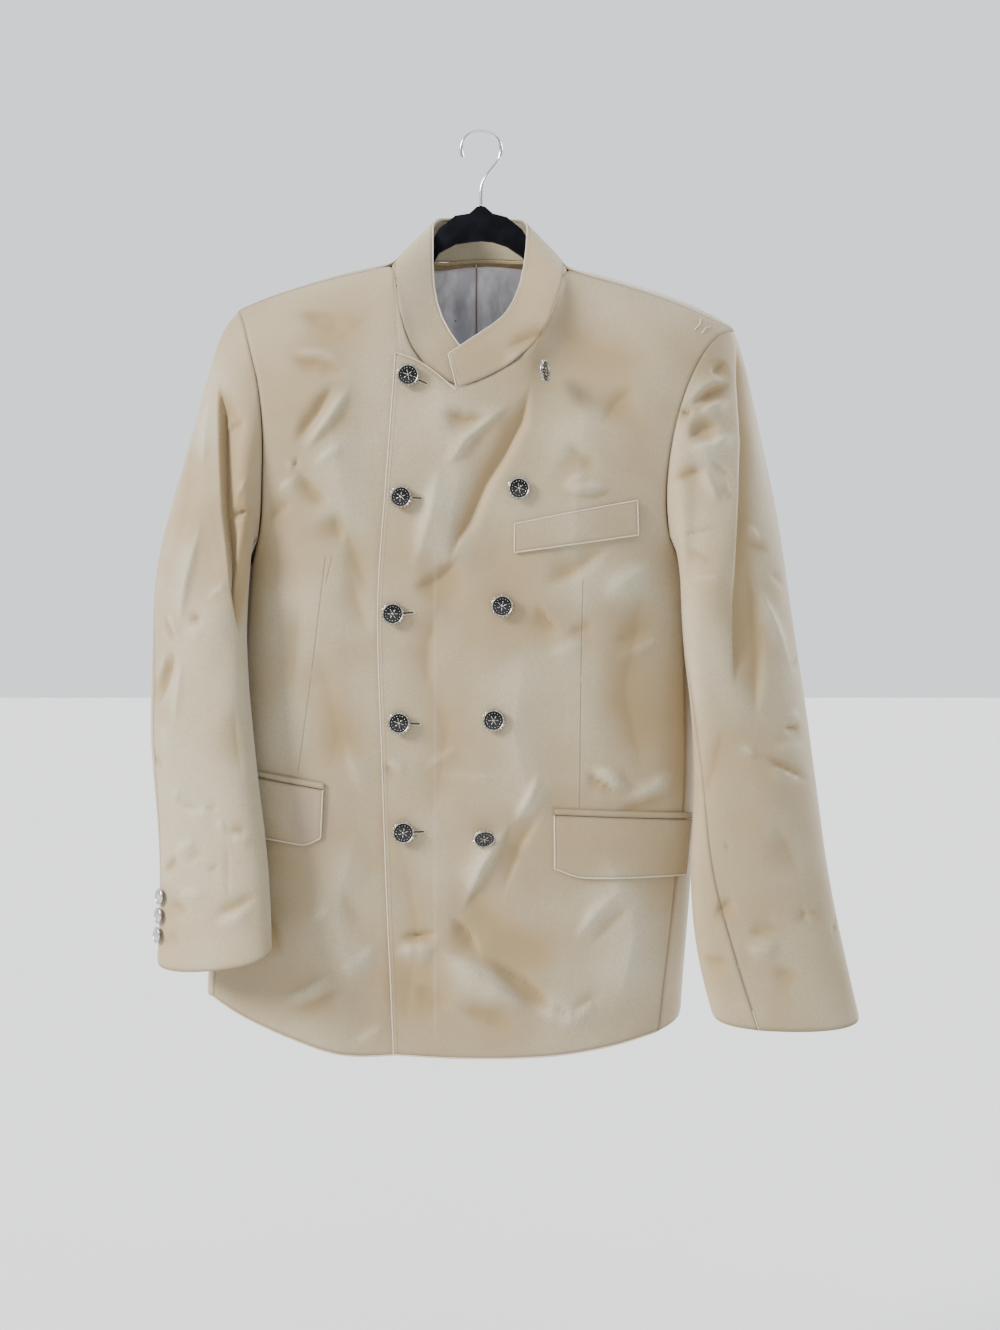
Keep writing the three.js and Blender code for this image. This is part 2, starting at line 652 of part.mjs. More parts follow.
const SLEEVE_ROWS = 23;
const ROW_CROWDING = 1.3;        // above 1 the rows lie closer together at the armhole
const UNDERARM_FROM = 193;       // degrees round the sleeve at which the underarm starts and ends
const UNDERARM_TO = 240;
const CUFF_SAG = 12;             // how far the cuff's front hangs below its two ends
const FRONT_SEAM = 11;           // column of the inner seam, counted round from the outside
const ELBOW_SEAM = 21;           // column of the seam that runs to the elbow

function sleeveFold(folds, round, z) {
  return folds.reduce((sum, f) => {
    const off = THREE.MathUtils.euclideanModulo(round - f.round + 180, 360) - 180;
    const x = THREE.MathUtils.degToRad(off) * FOLD_ARC;
    const slant = THREE.MathUtils.degToRad(f.slant);
    const along = x * Math.cos(slant) + (z - f.z) * Math.sin(slant);
    const across = (z - f.z) * Math.cos(slant) - x * Math.sin(slant);
    return sum + f.height * Math.exp(-((along / (f.length / 2)) ** 2) - (across / f.width) ** 2);
  }, 0);
}

// Point of the sleeve's own ring at a share v of its length and an angle round it in degrees.
function sleevePoint(rings, folds, v, round) {
  const at = (column) => tableAt(rings, 'v', v, column);
  const outer = new THREE.Vector3(at('ox'), at('oy'), at('oz'));
  const inner = new THREE.Vector3(at('ix'), at('iy'), at('iz'));
  const middle = outer.clone().add(inner).multiplyScalar(0.5);
  const angle = THREE.MathUtils.degToRad(round);
  const power = 2 / SLEEVE_POWER;
  const across = Math.sign(Math.cos(angle)) * Math.abs(Math.cos(angle)) ** power;
  const deep = Math.sign(Math.sin(angle)) * Math.abs(Math.sin(angle)) ** power;
  const fold = sleeveFold(folds, round, middle.z) * ease(v / 0.2);
  const bulge = at(deep > 0 ? 'front' : 'back') + fold;
  const p = middle.clone().addScaledVector(outer.clone().sub(middle), across * (1 + fold / 180));
  p.y -= deep * bulge;
  p.z -= CUFF_SAG * Math.max(0, deep) * ease((v - 0.85) / 0.15);
  return p;
}

// Moves a point out of the body until it is a given distance from its side.
function clearOfBody(p, gap) {
  for (let step = 0; step < 4; step += 1) {
    const s = section(p.x, p.z);
    const depth = p.y < 0 ? s.front : s.back;
    const u = Math.abs(p.x - s.middle) / s.half;
    const w = Math.abs(p.y) / depth;
    const r = (u ** SECTION_POWER + w ** SECTION_POWER) ** (1 / SECTION_POWER);
    const scale = r ** (1 - SECTION_POWER);
    const gx = (scale * u ** (SECTION_POWER - 1) / s.half) * Math.sign(p.x - s.middle);
    const gy = (scale * w ** (SECTION_POWER - 1) / depth) * Math.sign(p.y);
    const steep = Math.hypot(gx, gy);
    const missing = gap - (r - 1) / steep;
    if (missing <= 0) return;
    p.x += (missing * gx) / steep;
    p.y += (missing * gy) / steep;
  }
}

// Angle round the sleeve of a column of its loop, which has its corners at the underarm's two ends.
function columnAngle(j) {
  const under = j - STEPS.frontArmhole;
  if (under <= 0) return (UNDERARM_FROM * j) / STEPS.frontArmhole;
  const spread = UNDERARM_TO - UNDERARM_FROM;
  if (under <= STEPS.underarm) return UNDERARM_FROM + (spread * under) / STEPS.underarm;
  return UNDERARM_TO + ((360 - UNDERARM_TO) * (under - STEPS.underarm)) / STEPS.backArmhole;
}

// Loops of points from the armhole to the cuff; the first column is repeated at the end.
function sleeveGrid(loop, rings, folds) {
  const grid = [];
  for (let k = 0; k <= SLEEVE_ROWS; k += 1) {
    const v = (k / SLEEVE_ROWS) ** ROW_CROWDING;
    const keep = 1 - ease(v / CAP_END);
    const turn = tableAt(rings, 'v', v, 'turn');
    const row = loop.map((start, j) => {
      const round = columnAngle(j);
      const p = sleevePoint(rings, folds, v, round + turn);
      const shift = start.point.clone().sub(sleevePoint(rings, folds, 0, round));
      p.addScaledVector(shift, keep);
      const gap = BODY_CLEARANCE * Math.min(1, v / 0.04) * ease((-300 - p.z) / 90);
      if (gap > 0) clearOfBody(p, gap);
      return p;
    });
    row.push(row[0].clone());
    grid.push(row);
  }
  return grid;
}

// Normals of a sleeve, closed round it, and held to the body's where both face the same way at the armhole.
function sleeveNormals(grid, loop, sign) {
  const wrapped = grid.map((row) => [row[row.length - 2], ...row, row[1]]);
  const normals = gridNormals(wrapped).map((row) => row.slice(1, -1).map((n) => n.multiplyScalar(sign)));
  normals[0].forEach((n, j) => {
    const body = loop[j % loop.length].normal;
    n.lerp(body, clamp01((n.dot(body) + 0.1) / 0.4)).normalize();
  });
  return normals;
}

function addSleeve(side, loop, rings, folds) {
  const grid = sleeveGrid(loop, rings, folds);
  const normals = sleeveNormals(grid, loop, side === 'left' ? 1 : -1);
  const count = loop.length;
  const piece = (name, from, to) => {
    const columns = [];
    for (let j = from; j <= to; j += 1) columns.push(((j % count) + count) % count);
    const pick = (table) => table.map((row) => columns.map((j) => row[j]));
    add(name + '_' + side, wall(pullEdges(pick(grid)), pick(normals), CLOTH), 'cloth');
  };
  piece('topsleeve', ELBOW_SEAM - count, FRONT_SEAM);
  piece('undersleeve', FRONT_SEAM, ELBOW_SEAM);
  return { grid, normals };
}

const sideLeft = sideGrid('left', SIDE_SEAM_LEFT, BACK_SEAM_LEFT, -413);
const sideRight = sideGrid('right', SIDE_SEAM_RIGHT, BACK_SEAM_RIGHT, -413);
const loopLeft = armholeLoop(ARMHOLE_FRONT_LEFT, 'left', sideLeft[STEPS.side], ARMHOLE_BACK_LEFT);
const loopRight = armholeLoop(ARMHOLE_FRONT_RIGHT, 'right', sideRight[STEPS.side], ARMHOLE_BACK_RIGHT);

addFronts();
addBack('left', [{ x: -33, z: -803 }, { x: 70, z: -806 }, { x: 160, z: -803 }],
  BACK_SEAM_LEFT, ARMHOLE_BACK_LEFT, SHOULDER_LEFT);
addBack('right', [{ x: -33, z: -803 }, { x: -140, z: -806 }, { x: -226, z: -803 }],
  BACK_SEAM_RIGHT, ARMHOLE_BACK_RIGHT, SHOULDER_RIGHT);
addSide('left', sideLeft);
addSide('right', sideRight);
const sleeveLeft = addSleeve('left', loopLeft, SLEEVE_LEFT, SLEEVE_FOLDS_LEFT);
const sleeveRight = addSleeve('right', loopRight, SLEEVE_RIGHT, SLEEVE_FOLDS_RIGHT);


// The collar is one band that stands on the neck seam. Its top edge is given for columns of that seam,
// counted from its left front end, round the back of the neck, to its right end, which goes under.
const COLLAR_TOP = [
  { at: 0, x: -30, y: -61.5, z: -215.5 },
  { at: 2, x: -3, y: -59.5, z: -197 },
  { at: 4, x: 21, y: -51.5, z: -178.5 },
  { at: 6, x: 35, y: -34, z: -148 },
  { at: 8, x: 41.5, y: -9, z: -106 },
  { at: 9, x: 42.5, y: 2, z: -84 },
  { at: 11, x: 32, y: 25, z: -75 },
  { at: 13, x: -2, y: 37.5, z: -71 },
  { at: 15, x: -33, y: 25, z: -74 },
  { at: 17, x: -44, y: 2, z: -82 },
  { at: 18, x: -43.6, y: -9, z: -104 },
  { at: 20, x: -42, y: -31, z: -147 },
  { at: 22, x: -34.5, y: -47, z: -179 },
  { at: 24, x: -19, y: -55, z: -206 },
  { at: 25, x: -8, y: -55, z: -213 },
];
const COLLAR_ROWS = 4;
const COLLAR_PULL = 0.8;         // the band's foot stands a little further off than other seams
const COLLAR_BOW = 1.2;          // how far the band bows out between its edges

function addCollar() {
  const left = joined(spaced(frontPoints(NECK_LEFT), STEPS.neck), backNeck('left').reverse());
  const right = joined(backNeck('right'), spaced(frontPoints(NECK_RIGHT), STEPS.neck).reverse()).slice(0, -1);
  const seam = joined(left, right);
  const foot = seam.map((c, j) => {
    const normal = bodyNormal(c.x, c.y);
    const point = overRidge(c.x, c.y);
    if (j >= left.length) point.addScaledVector(normal, -lapSink(point.x, point.z));
    return { normal, point };
  });
  const grid = [];
  for (let k = 0; k <= COLLAR_ROWS; k += 1) {
    const v = k / COLLAR_ROWS;
    grid.push(foot.map((f, j) => {
      const top = new THREE.Vector3(...['x', 'y', 'z'].map((c) => tableAt(COLLAR_TOP, 'at', j, c)));
      const bow = COLLAR_BOW * Math.sin(Math.PI * v);
      return f.point.clone().lerp(top, v).addScaledVector(f.normal, bow);
    }));
  }
  const normals = gridNormals(grid);
  normals[0].forEach((n, j) => n.copy(foot[j].normal));
  add('collar', wall(pullEdges(grid, COLLAR_PULL), normals, COLLAR_WALL), 'cloth');
}

// The satin lining shows through the neck: two halves inside the back, joined at its centre.
const LINING_END_Z = -300;
const LINING_HALF = 86;
const LINING_GAP = 3.4;

function addLining(side) {
  const sign = side === 'left' ? 1 : -1;
  const middle = CENTRE_BACK[3].x;
  const edge = sign * LINING_HALF;
  const low = -angleAt(middle, LINING_END_Z, BACK_ROUND);
  const top = [
    new THREE.Vector2(middle, -0.99),
    new THREE.Vector2(middle + sign * 36, -0.87),
    new THREE.Vector2(sign * 64, -0.6),
    new THREE.Vector2(edge, -0.42),
  ];
  const columns = 7;
  const rows = 8;
  const across = (a, b) => spaced([a, b], columns);
  const coordinates = patch(
    across(new THREE.Vector2(middle, low), new THREE.Vector2(edge, low)),
    spaced(top, columns),
    spaced([new THREE.Vector2(middle, low), top[0]], rows),
    spaced([new THREE.Vector2(edge, low), top[3]], rows),
  );
  const normals = coordinates.map((row) => row.map((c) => bodyNormal(c.x, c.y)));
  const grid = coordinates.map((row, k) => row.map((c, i) => (
    overRidge(c.x, c.y).addScaledVector(normals[k][i], -CLOTH - LINING_GAP)
  )));
  add('lining_' + side, wall(pullEdges(grid), normals, LINING_WALL), 'satin');
}

// Pocket pieces lie on the fronts. Corners by x and z: the top and bottom edges run from front to side.
const POCKETS = [
  { name: 'breast_welt', top: [31, -370, 142, -348], bottom: [31, -396, 143, -379.5], round: 0 },
  { name: 'flap_left', top: [66.5, -633, 193, -639], bottom: [67, -690, 188, -690], round: 9 },
  { name: 'jet_left', top: [65.5, -626.5, 193.5, -632.5], bottom: [65.5, -632.4, 193.5, -638.4], round: 0 },
  { name: 'flap_right', top: [-142, -610.5, -226, -596], bottom: [-144, -663, -222, -651], round: 9 },
  { name: 'jet_right', top: [-141, -604, -226.5, -589.5], bottom: [-141, -609.9, -226.5, -595.4], round: 0 },
];
const POCKET_COLUMNS = 9;
const POCKET_CROWDING = 1.6;     // above 1 the columns lie closer together towards the side of the body
const FLAP_ROWS = 4;

function addPocket({ name, top, bottom, round }) {
  const rows = name.startsWith('jet') ? 1 : FLAP_ROWS;
  const grid = [];
  const normals = [];
  for (let k = 0; k <= rows; k += 1) {
    const v = k / rows;
    const gridRow = [];
    const normalRow = [];
    for (let i = 0; i <= POCKET_COLUMNS; i += 1) {
      const u = 1 - (1 - i / POCKET_COLUMNS) ** POCKET_CROWDING;
      const x = (top[0] + (top[2] - top[0]) * u) * v + (bottom[0] + (bottom[2] - bottom[0]) * u) * (1 - v);
      const corner = round * (1 - v) ** 3 * Math.max(0, 1 - u * 6);
      const z = (top[1] + (top[3] - top[1]) * u) * v + (bottom[1] + (bottom[3] - bottom[1]) * u) * (1 - v);
      const c = onFront(x, z + corner);
      const normal = bodyNormal(c.x, c.y);
      const sink = x < 0 ? lapSink(x, z) : 0;
      gridRow.push(overRidge(c.x, c.y).addScaledVector(normal, LAID_ON + CLOTH - sink));
      normalRow.push(normal);
    }
    grid.push(gridRow);
    normals.push(normalRow);
  }
  add(name, wall(grid, normals, CLOTH), 'cloth');
}

// A button's half section, from the foot of its shank to the middle of its face, for a unit radius.
const BUTTON_SECTION = [[0, 0], [0.24, 0], [0.24, 0.26], [1, 0.33], [1, 0.46], [0.78, 0.53], [0, 0.57]];
const FRONT_BUTTON = { radius: 10.5, sides: 14 };
const CUFF_BUTTON = { radius: 7.5, sides: 10 };
const BUTTON_GAP = 0.3;

// Two columns of five; two of the buttons hang askew on their thread, by a yaw or a tilt in degrees.
// A drop lets a button down into a hollow of the cloth.
const FRONT_BUTTONS = [
  { x: -65, z: -236, yaw: 0, tilt: 4 },
  { x: -70.6, z: -346, yaw: -4, tilt: 2 },
  { x: -78.7, z: -451, yaw: 3, tilt: 3 },
  { x: -73, z: -549.5, yaw: 0, tilt: 2 },
  { x: -69, z: -648, yaw: 0, tilt: 3 },
  { x: 54, z: -234, yaw: 66, tilt: 0 },
  { x: 34, z: -338, yaw: 8, tilt: 3 },
  { x: 19.5, z: -444, yaw: 0, tilt: 4 },
  { x: 12, z: -547, yaw: 0, tilt: 3 },
  { x: 3, z: -651, yaw: 0, tilt: 42, drop: 0.9 },
];
const CUFF_BUTTON_PLACES = [0.898, 0.926, 0.955];

// A button stands on its shank, along a direction, raised so that a leaning rim just clears the cloth.
function addButton(name, { radius, sides }, place, normal, direction, drop = 0) {
  const points = BUTTON_SECTION.map(([r, h]) => new THREE.Vector2(r * radius, h * radius));
  const lean = Math.acos(clamp01(normal.dot(direction)));
  const rim = BUTTON_SECTION[3];
  const rimDrop = radius * (rim[0] * Math.sin(lean) - rim[1] * Math.cos(lean));
  const lift = BUTTON_GAP - drop + Math.max(0, rimDrop, BUTTON_SECTION[1][0] * radius * Math.sin(lean));
  const mesh = add(name, new THREE.LatheGeometry(points, sides), 'button');
  mesh.quaternion.setFromUnitVectors(new THREE.Vector3(0, 1, 0), direction);
  mesh.position.copy(place).addScaledVector(normal, lift);
}

function addFrontButtons() {
  FRONT_BUTTONS.forEach((b, i) => {
    const c = onFront(b.x, b.z);
    const normal = bodyNormal(c.x, c.y);
    const yaw = THREE.MathUtils.degToRad(b.yaw);
    const tilt = THREE.MathUtils.degToRad(b.tilt);
    const direction = normal.clone()
      .applyAxisAngle(new THREE.Vector3(0, 0, 1), yaw)
      .applyAxisAngle(new THREE.Vector3(1, 0, 0), tilt);
    addButton('button_front_' + (i + 1), FRONT_BUTTON, overRidge(c.x, c.y), normal, direction, b.drop);
  });
}

// Cuff buttons stand in a row on the top sleeve, beside the elbow seam.
function addCuffButtons(side, { grid, normals }) {
  const beside = ELBOW_SEAM + 1;
  CUFF_BUTTON_PLACES.forEach((v, i) => {
    const row = SLEEVE_ROWS * v ** (1 / ROW_CROWDING);
    const k = Math.floor(row);
    const mix = (table) => table[k][beside].clone().lerp(table[k + 1][beside], row - k);
    const normal = mix(normals).normalize();
    addButton('button_cuff_' + side + '_' + (i + 1), CUFF_BUTTON, mix(grid), normal, normal);
  });
}

// The hanger is a flat velvet shape inside the shoulders: its top edge and its depth along x.
const HANGER_THICK = 6;
const NECK_HALF = 77;            // beyond this the hanger lies under the shoulders
const HANGER_UNDER_CLOTH = 4.9;  // from the shoulder ridge down to the hanger's top edge
const HANGER = [
  { x: -206, top: -160.5, deep: 11 },
  { x: -190, top: -153.5, deep: 16 },
  { x: -140, top: -137, deep: 21 },
  { x: -100, top: -126.5, deep: 26 },
  { x: -78, top: -126.5, deep: 26 },
  { x: -66, top: -118.5, deep: 30 },
  { x: -56, top: -110.5, deep: 27 },
  { x: -47, top: -104.5, deep: 22.5 },
  { x: -39, top: -90.5, deep: 22 },
  { x: -24, top: -78.5, deep: 26 },
  { x: -11, top: -76.5, deep: 26 },
  { x: -8, top: -74, deep: 28 },
  { x: -4, top: -70.3, deep: 31.5 },
  { x: 0, top: -69.5, deep: 32 },
  { x: 4, top: -70.3, deep: 31.5 },
  { x: 8, top: -74, deep: 28.3 },
  { x: 11, top: -76.5, deep: 26 },
  { x: 24, top: -79.8, deep: 27 },
  { x: 38, top: -91, deep: 25.5 },
  { x: 46, top: -104.5, deep: 23.5 },
  { x: 58, top: -115.5, deep: 27 },
  { x: 74, top: -129.5, deep: 28 },
  { x: 100, top: -130, deep: 26 },
  { x: 140, top: -141.8, deep: 21 },
  { x: 190, top: -158.8, deep: 16 },
  { x: 214, top: -170.5, deep: 11 },
];

function addHanger() {
  const top = HANGER.map((h) => {
    const underRidge = Math.abs(h.x) < NECK_HALF ? h.top : ridge(h.x) - HANGER_UNDER_CLOTH;
    return new THREE.Vector2(h.x, Math.min(h.top, underRidge));
  });
  const bottom = HANGER.map((h) => new THREE.Vector2(h.x, h.top - h.deep)).reverse();
  const end = (h, out) => new THREE.Vector2(h.x + out, h.top - h.deep / 2);
  const outline = new THREE.Shape([...top, end(HANGER[HANGER.length - 1], 4), ...bottom, end(HANGER[0], -4)]);
  const geometry = new THREE.ExtrudeGeometry(outline, { depth: HANGER_THICK, bevelEnabled: false });
  const mesh = add('hanger', geometry, 'velvet');
  mesh.rotation.x = Math.PI / 2;
  mesh.position.y = HANGER_THICK / 2;
}

// The wire hook: a shank out of the hanger's middle, then a round hook whose inner top is the origin.
const WIRE_RADIUS = 1.75;
const HOOK_RADIUS = 17;          // inside of the hook
const HOOK_FOOT = -69.1;

function addHook() {
  const ring = HOOK_RADIUS + WIRE_RADIUS;
  const onRing = (degrees) => {
    const a = THREE.MathUtils.degToRad(degrees);
    return new THREE.Vector3(ring * Math.cos(a), 0, -HOOK_RADIUS + ring * Math.sin(a));
  };
  const path = new THREE.CatmullRomCurve3([
    new THREE.Vector3(0, 0, HOOK_FOOT),
    new THREE.Vector3(0, 0, -60),
    new THREE.Vector3(0.5, 0, -51),
    new THREE.Vector3(5, 0, -41),
    ...[-42, -18, 8, 36, 64, 92, 120, 148, 176, 204].map(onRing),
  ]);
  const section = new THREE.Shape();
  section.absarc(0, 0, WIRE_RADIUS, 0, 2 * Math.PI);
  add('hook', new THREE.ExtrudeGeometry(section, { extrudePath: path, steps: 34, curveSegments: 8 }), 'wire');
}

addCollar();
addLining('left');
addLining('right');
POCKETS.forEach(addPocket);
addFrontButtons();
addCuffButtons('left', sleeveLeft);
addCuffButtons('right', sleeveRight);
addHanger();
addHook();

export default jacket;
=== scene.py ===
# Tunic jacket on a slim velvet hanger: a double-breasted cloth shell with a stand collar, satin inside the
# neck, and metal and enamel buttons. Metres, +Z up, the front faces -Y; left is the wearer's left, +X.
import math

import bmesh
import bpy
import numpy as np
from mathutils import Matrix, Vector
from mathutils.bvhtree import BVHTree
from mathutils.kdtree import KDTree


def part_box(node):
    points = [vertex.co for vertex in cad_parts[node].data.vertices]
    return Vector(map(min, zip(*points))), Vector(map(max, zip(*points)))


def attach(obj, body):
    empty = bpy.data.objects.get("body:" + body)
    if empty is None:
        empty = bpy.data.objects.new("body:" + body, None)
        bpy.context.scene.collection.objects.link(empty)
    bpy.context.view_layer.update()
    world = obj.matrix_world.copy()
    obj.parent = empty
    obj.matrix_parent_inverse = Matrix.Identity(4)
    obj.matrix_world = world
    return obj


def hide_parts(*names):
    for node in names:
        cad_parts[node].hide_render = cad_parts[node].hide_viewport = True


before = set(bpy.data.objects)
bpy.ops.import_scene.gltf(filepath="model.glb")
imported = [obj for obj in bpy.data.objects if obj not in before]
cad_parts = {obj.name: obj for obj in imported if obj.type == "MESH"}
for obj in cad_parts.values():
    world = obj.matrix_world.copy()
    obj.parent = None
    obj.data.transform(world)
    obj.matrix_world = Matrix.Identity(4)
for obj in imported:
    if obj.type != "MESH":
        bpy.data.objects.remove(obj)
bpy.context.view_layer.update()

# The backs: two panels of khaki gabardine, joined down the middle of the back and hanging from the shoulders.
# The cloth is a fine twill with a dry sheen. Sewn edges are pressed under, so a seam shows as a groove with
# light puckers beside it, and painted shade darkens the cloth along every edge.
MM = 0.001
CLOTH_WALL = 2.0 * MM
PANEL_LEVELS = 3
EDGE_ROLL = 0.8 * MM              # how far a pressed edge dips
EDGE_ROLL_WIDTH = 3.2 * MM
PUCKER = 0.16 * MM
PUCKER_PITCH = 9.0 * MM
PUCKER_REACH = 8.0 * MM
NARROWEST_CUT = 10.5 * MM         # a jet's strip, with what is folded under
CREASE_DEPTH = 1.8                # how much deeper worn creases are than the table of their marks
CREASE_FADE = 0.42                # share of a crease over which each end fades
LONGEST_FADE = 45                 # mm
END_WIDTH = 0.35                  # share of a crease's width that is left at its ends
SOFT_SHARE = 0.45                 # share of a crease that is rounded; the rest is a sharp ridge or valley
SHARP_FALL = 1.7
SEAM_SHADE_WIDTH = 1.1 * MM
FOLD_SPAN = 7 * MM                # crease height over which its painted shade turns to painted highlight
NECK_SPREAD = 2.6                 # columns of points over which the neck's corner pulls
COVER_DEPTH = 12 * MM             # how near a covering piece has to be to press on the cloth behind it
COVER_GAP = 1.0 * MM
TWILL_PITCH = 0.8 * MM
CLOTH_COLOUR = (0.400, 0.318, 0.190)
# Two tones of the cloth. The cloth material also uses CLOTH_PALE as painted highlight on crease ridges and
# CLOTH_DEEP as painted shade in crease troughs.
CLOTH_PALE = (0.465, 0.420, 0.315)
CLOTH_DEEP = (0.285, 0.190, 0.082)
CLOTH_SHADE = (0.170, 0.120, 0.070)

# A crease is a row of (path, half width, lean, height) in mm. Its path runs through points (x, z) as seen
# from the front; a lean above 0 widens it on the right of its run; a height below 0 is a trough.
BACK_CREASES = [
    ([(-120, -190), (-60, -260), (-25, -330)], 16, 0.35, 2.8),
    ([(110, -200), (60, -270), (30, -345)], 15, 0.5, 3.1),
    ([(-150, -230), (-175, -300)], 10, -0.4, -2.5),
    ([(150, -240), (165, -310)], 10, 0.55, -2.5),
    ([(-195, -330), (-150, -345), (-105, -390)], 8, 0.2, -3.4),
    ([(-190, -352), (-140, -375)], 6, 0.6, 2.1),
    ([(185, -325), (140, -350), (100, -385)], 8, 0.2, -3.6),
    ([(180, -350), (135, -372)], 6, 0.35, 2.2),
    ([(-180, -470), (-120, -480), (-60, -468)], 7, 0.5, -2.5),
    ([(-170, -488), (-110, -495)], 5, -0.4, 1.8),
    ([(40, -500), (100, -512), (160, -498)], 8, 0.55, -2.8),
    ([(60, -520), (120, -528)], 6, 0.6, 2),
    ([(70, -560), (88, -580)], 3.5, 0.35, -2),
    ([(88, -580), (108, -566)], 4, 0.5, 1.7),
    ([(86, -582), (82, -610)], 3.5, -0.4, -1.4),
    ([(-95, -610), (-80, -628)], 3.5, 0.55, -2.1),
    ([(-80, -628), (-52, -622)], 4, 0.6, 1.8),
    ([(90, -600), (100, -700), (92, -790)], 16, 0.2, 3.6),
    ([(50, -560), (58, -700), (50, -795)], 13, 0.35, -2.8),
    ([(-110, -560), (-122, -690), (-118, -800)], 15, 0.5, 3.6),
    ([(-160, -600), (-170, -720)], 12, -0.4, -2.7),
    ([(-70, -650), (-76, -760)], 11, 0.55, -2.1),
    ([(-200, -690), (-150, -735), (-110, -745)], 7, 0.2, -2.4),
    ([(-195, -710), (-150, -752)], 6, 0.6, 2),
    ([(150, -680), (110, -720), (70, -728)], 8, 0.35, 2.7),
    ([(155, -700), (115, -742)], 6, 0.5, -2.1),
    ([(-40, -740), (10, -752), (60, -744)], 5, -0.4, -1.8),
    ([(-35, -752), (20, -762)], 5, 0.55, 1.5),
    ([(-60, -160), (0, -172), (55, -162)], 7, 0.6, -1.8),
    ([(-30, -150), (-26, -200)], 6, 0.35, 1.3),
]


def linked(name, data):
    """A new object in the scene, at the origin."""
    made = bpy.data.objects.new(name, data)
    bpy.context.collection.objects.link(made)
    return made


def deselect_all():
    for obj in bpy.context.selected_objects:
        obj.select_set(False)


def only(obj):
    deselect_all()
    obj.select_set(True)
    bpy.context.view_layer.objects.active = obj
    return obj


def apply_modifier(obj, kind, **values):
    only(obj)
    modifier = obj.modifiers.new(kind.lower(), kind)
    for name, value in values.items():
        setattr(modifier, name, value)
    bpy.ops.object.modifier_apply(modifier=modifier.name)
    return obj


def flood(first, stops):
    """All faces reached from one face without entering the faces in stops."""
    found = {first}
    waiting = [first]
    while waiting:
        for edge in waiting.pop().edges:
            for other in edge.link_faces:
                if other not in found and other not in stops:
                    found.add(other)
                    waiting.append(other)
    return found


def outer_face(node):
    """The outer face of a cloth wall as a mesh of triangles: the larger of its two broad faces."""
    shell = bmesh.new()
    shell.from_mesh(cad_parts[node].data)
    bmesh.ops.remove_doubles(shell, verts=shell.verts, dist=0.002 * MM)
    lengths = [round(edge.calc_length() / MM, 2) for edge in shell.edges]
    wall = max(set(lengths), key=lengths.count)
    rim = {face for edge, length in zip(shell.edges, lengths) if length == wall for face in edge.link_faces}
    first = next(face for face in shell.faces if face not in rim)
    one = flood(first, rim)
    other = set(shell.faces) - rim - one
    outer = max((one, other), key=lambda side: sum(face.calc_area() for face in side))
    bmesh.ops.delete(shell, geom=[face for face in shell.faces if face not in outer], context="FACES")
    return shell


def name_directions(shell):
    """Tells the panel's two thread directions, 0 and 1, from its diagonals, 2, starting at a corner."""
    corner = next(f for f in shell.faces if sum(edge.is_boundary for edge in f.edges) == 2)
    free = [edge for edge in corner.edges if edge.is_boundary]
    kind = {free[0]: 0, free[1]: 1}
    kind.update({edge: 2 for edge in corner.edges if edge not in kind})
    waiting = [corner]
    while waiting:
        face = waiting.pop()
        for edge in face.edges:
            for other in edge.link_faces:
                if all(e in kind for e in other.edges):
                    continue
                for end in edge.verts:
                    old = next(e for e in face.edges if e is not edge and end in e.verts)
                    new = next(e for e in other.edges if e is not edge and end in e.verts)
                    kind[new] = 3 - kind[old] - kind[edge]
                waiting.append(other)
    return kind


def opposite(face, point, edge):
    """The corner of a four-sided face that follows a point away from an edge."""
    ring = list(face.verts)
    at = ring.index(point)
    return next(p for p in (ring[at - 1], ring[(at + 1) % 4]) if p not in edge.verts)


def grid_of(node):
    """The panel's outer face as rows of points, the rows rising from the hem and running one way."""
    shell = outer_face(node)
    outward = np.sum([face.normal * face.calc_area() for face in shell.faces], axis=0)
    kind = name_directions(shell)
    bmesh.ops.dissolve_edges(shell, edges=[e for e in kind if kind[e] == 2], use_verts=False)
    first = next(iter(shell.faces))
    place = dict(zip(first.verts, np.array([(0, 0), (1, 0), (1, 1), (0, 1)])))
    waiting = [first]
    while waiting:
        face = waiting.pop()
        for edge in face.edges:
            for other in edge.link_faces:
                if all(point in place for point in other.verts):
                    continue
                for point in edge.verts:
                    before = place[opposite(face, point, edge)]
                    place[opposite(other, point, edge)] = 2 * place[point] - before
                waiting.append(other)
    low = np.min(list(place.values()), axis=0)
    high = np.max(list(place.values()), axis=0)
    grid = np.zeros((high[1] - low[1] + 1, high[0] - low[0] + 1, 3))
    for point, (i, j) in place.items():
        grid[j - low[1], i - low[0]] = point.co
    shell.free()
    return upright(grid, outward)


def upright(grid, outward):
    """Turns a grid so that its rows rise and its columns run to the right as its outer side is seen."""
    rise_of_rows = np.abs(np.diff(grid[:, :, 2], axis=0)).mean()
    rise_along = np.abs(np.diff(grid[:, :, 2], axis=1)).mean()
    if rise_along > rise_of_rows:
        grid = grid.transpose(1, 0, 2)
    if grid[-1, :, 2].mean() < grid[0, :, 2].mean():
        grid = grid[::-1]
    across = np.diff(grid, axis=1)[:-1]
    upward = np.diff(grid, axis=0)[:, :-1]
    facing = np.cross(across, upward).sum(axis=(0, 1))
    return grid if facing @ outward > 0 else grid[:, ::-1]


def lengths_along(grid, axis):
    """Distance along the cloth from the middle of the panel, in one of its two directions."""
    steps = np.linalg.norm(np.diff(grid, axis=axis), axis=2)
    start = [(0, 0), (0, 0)]
    start[axis] = (1, 0)
    run = np.pad(np.cumsum(steps, axis=axis), start)
    middle = np.take(run, [run.shape[axis] // 2], axis=axis)
    return run - middle


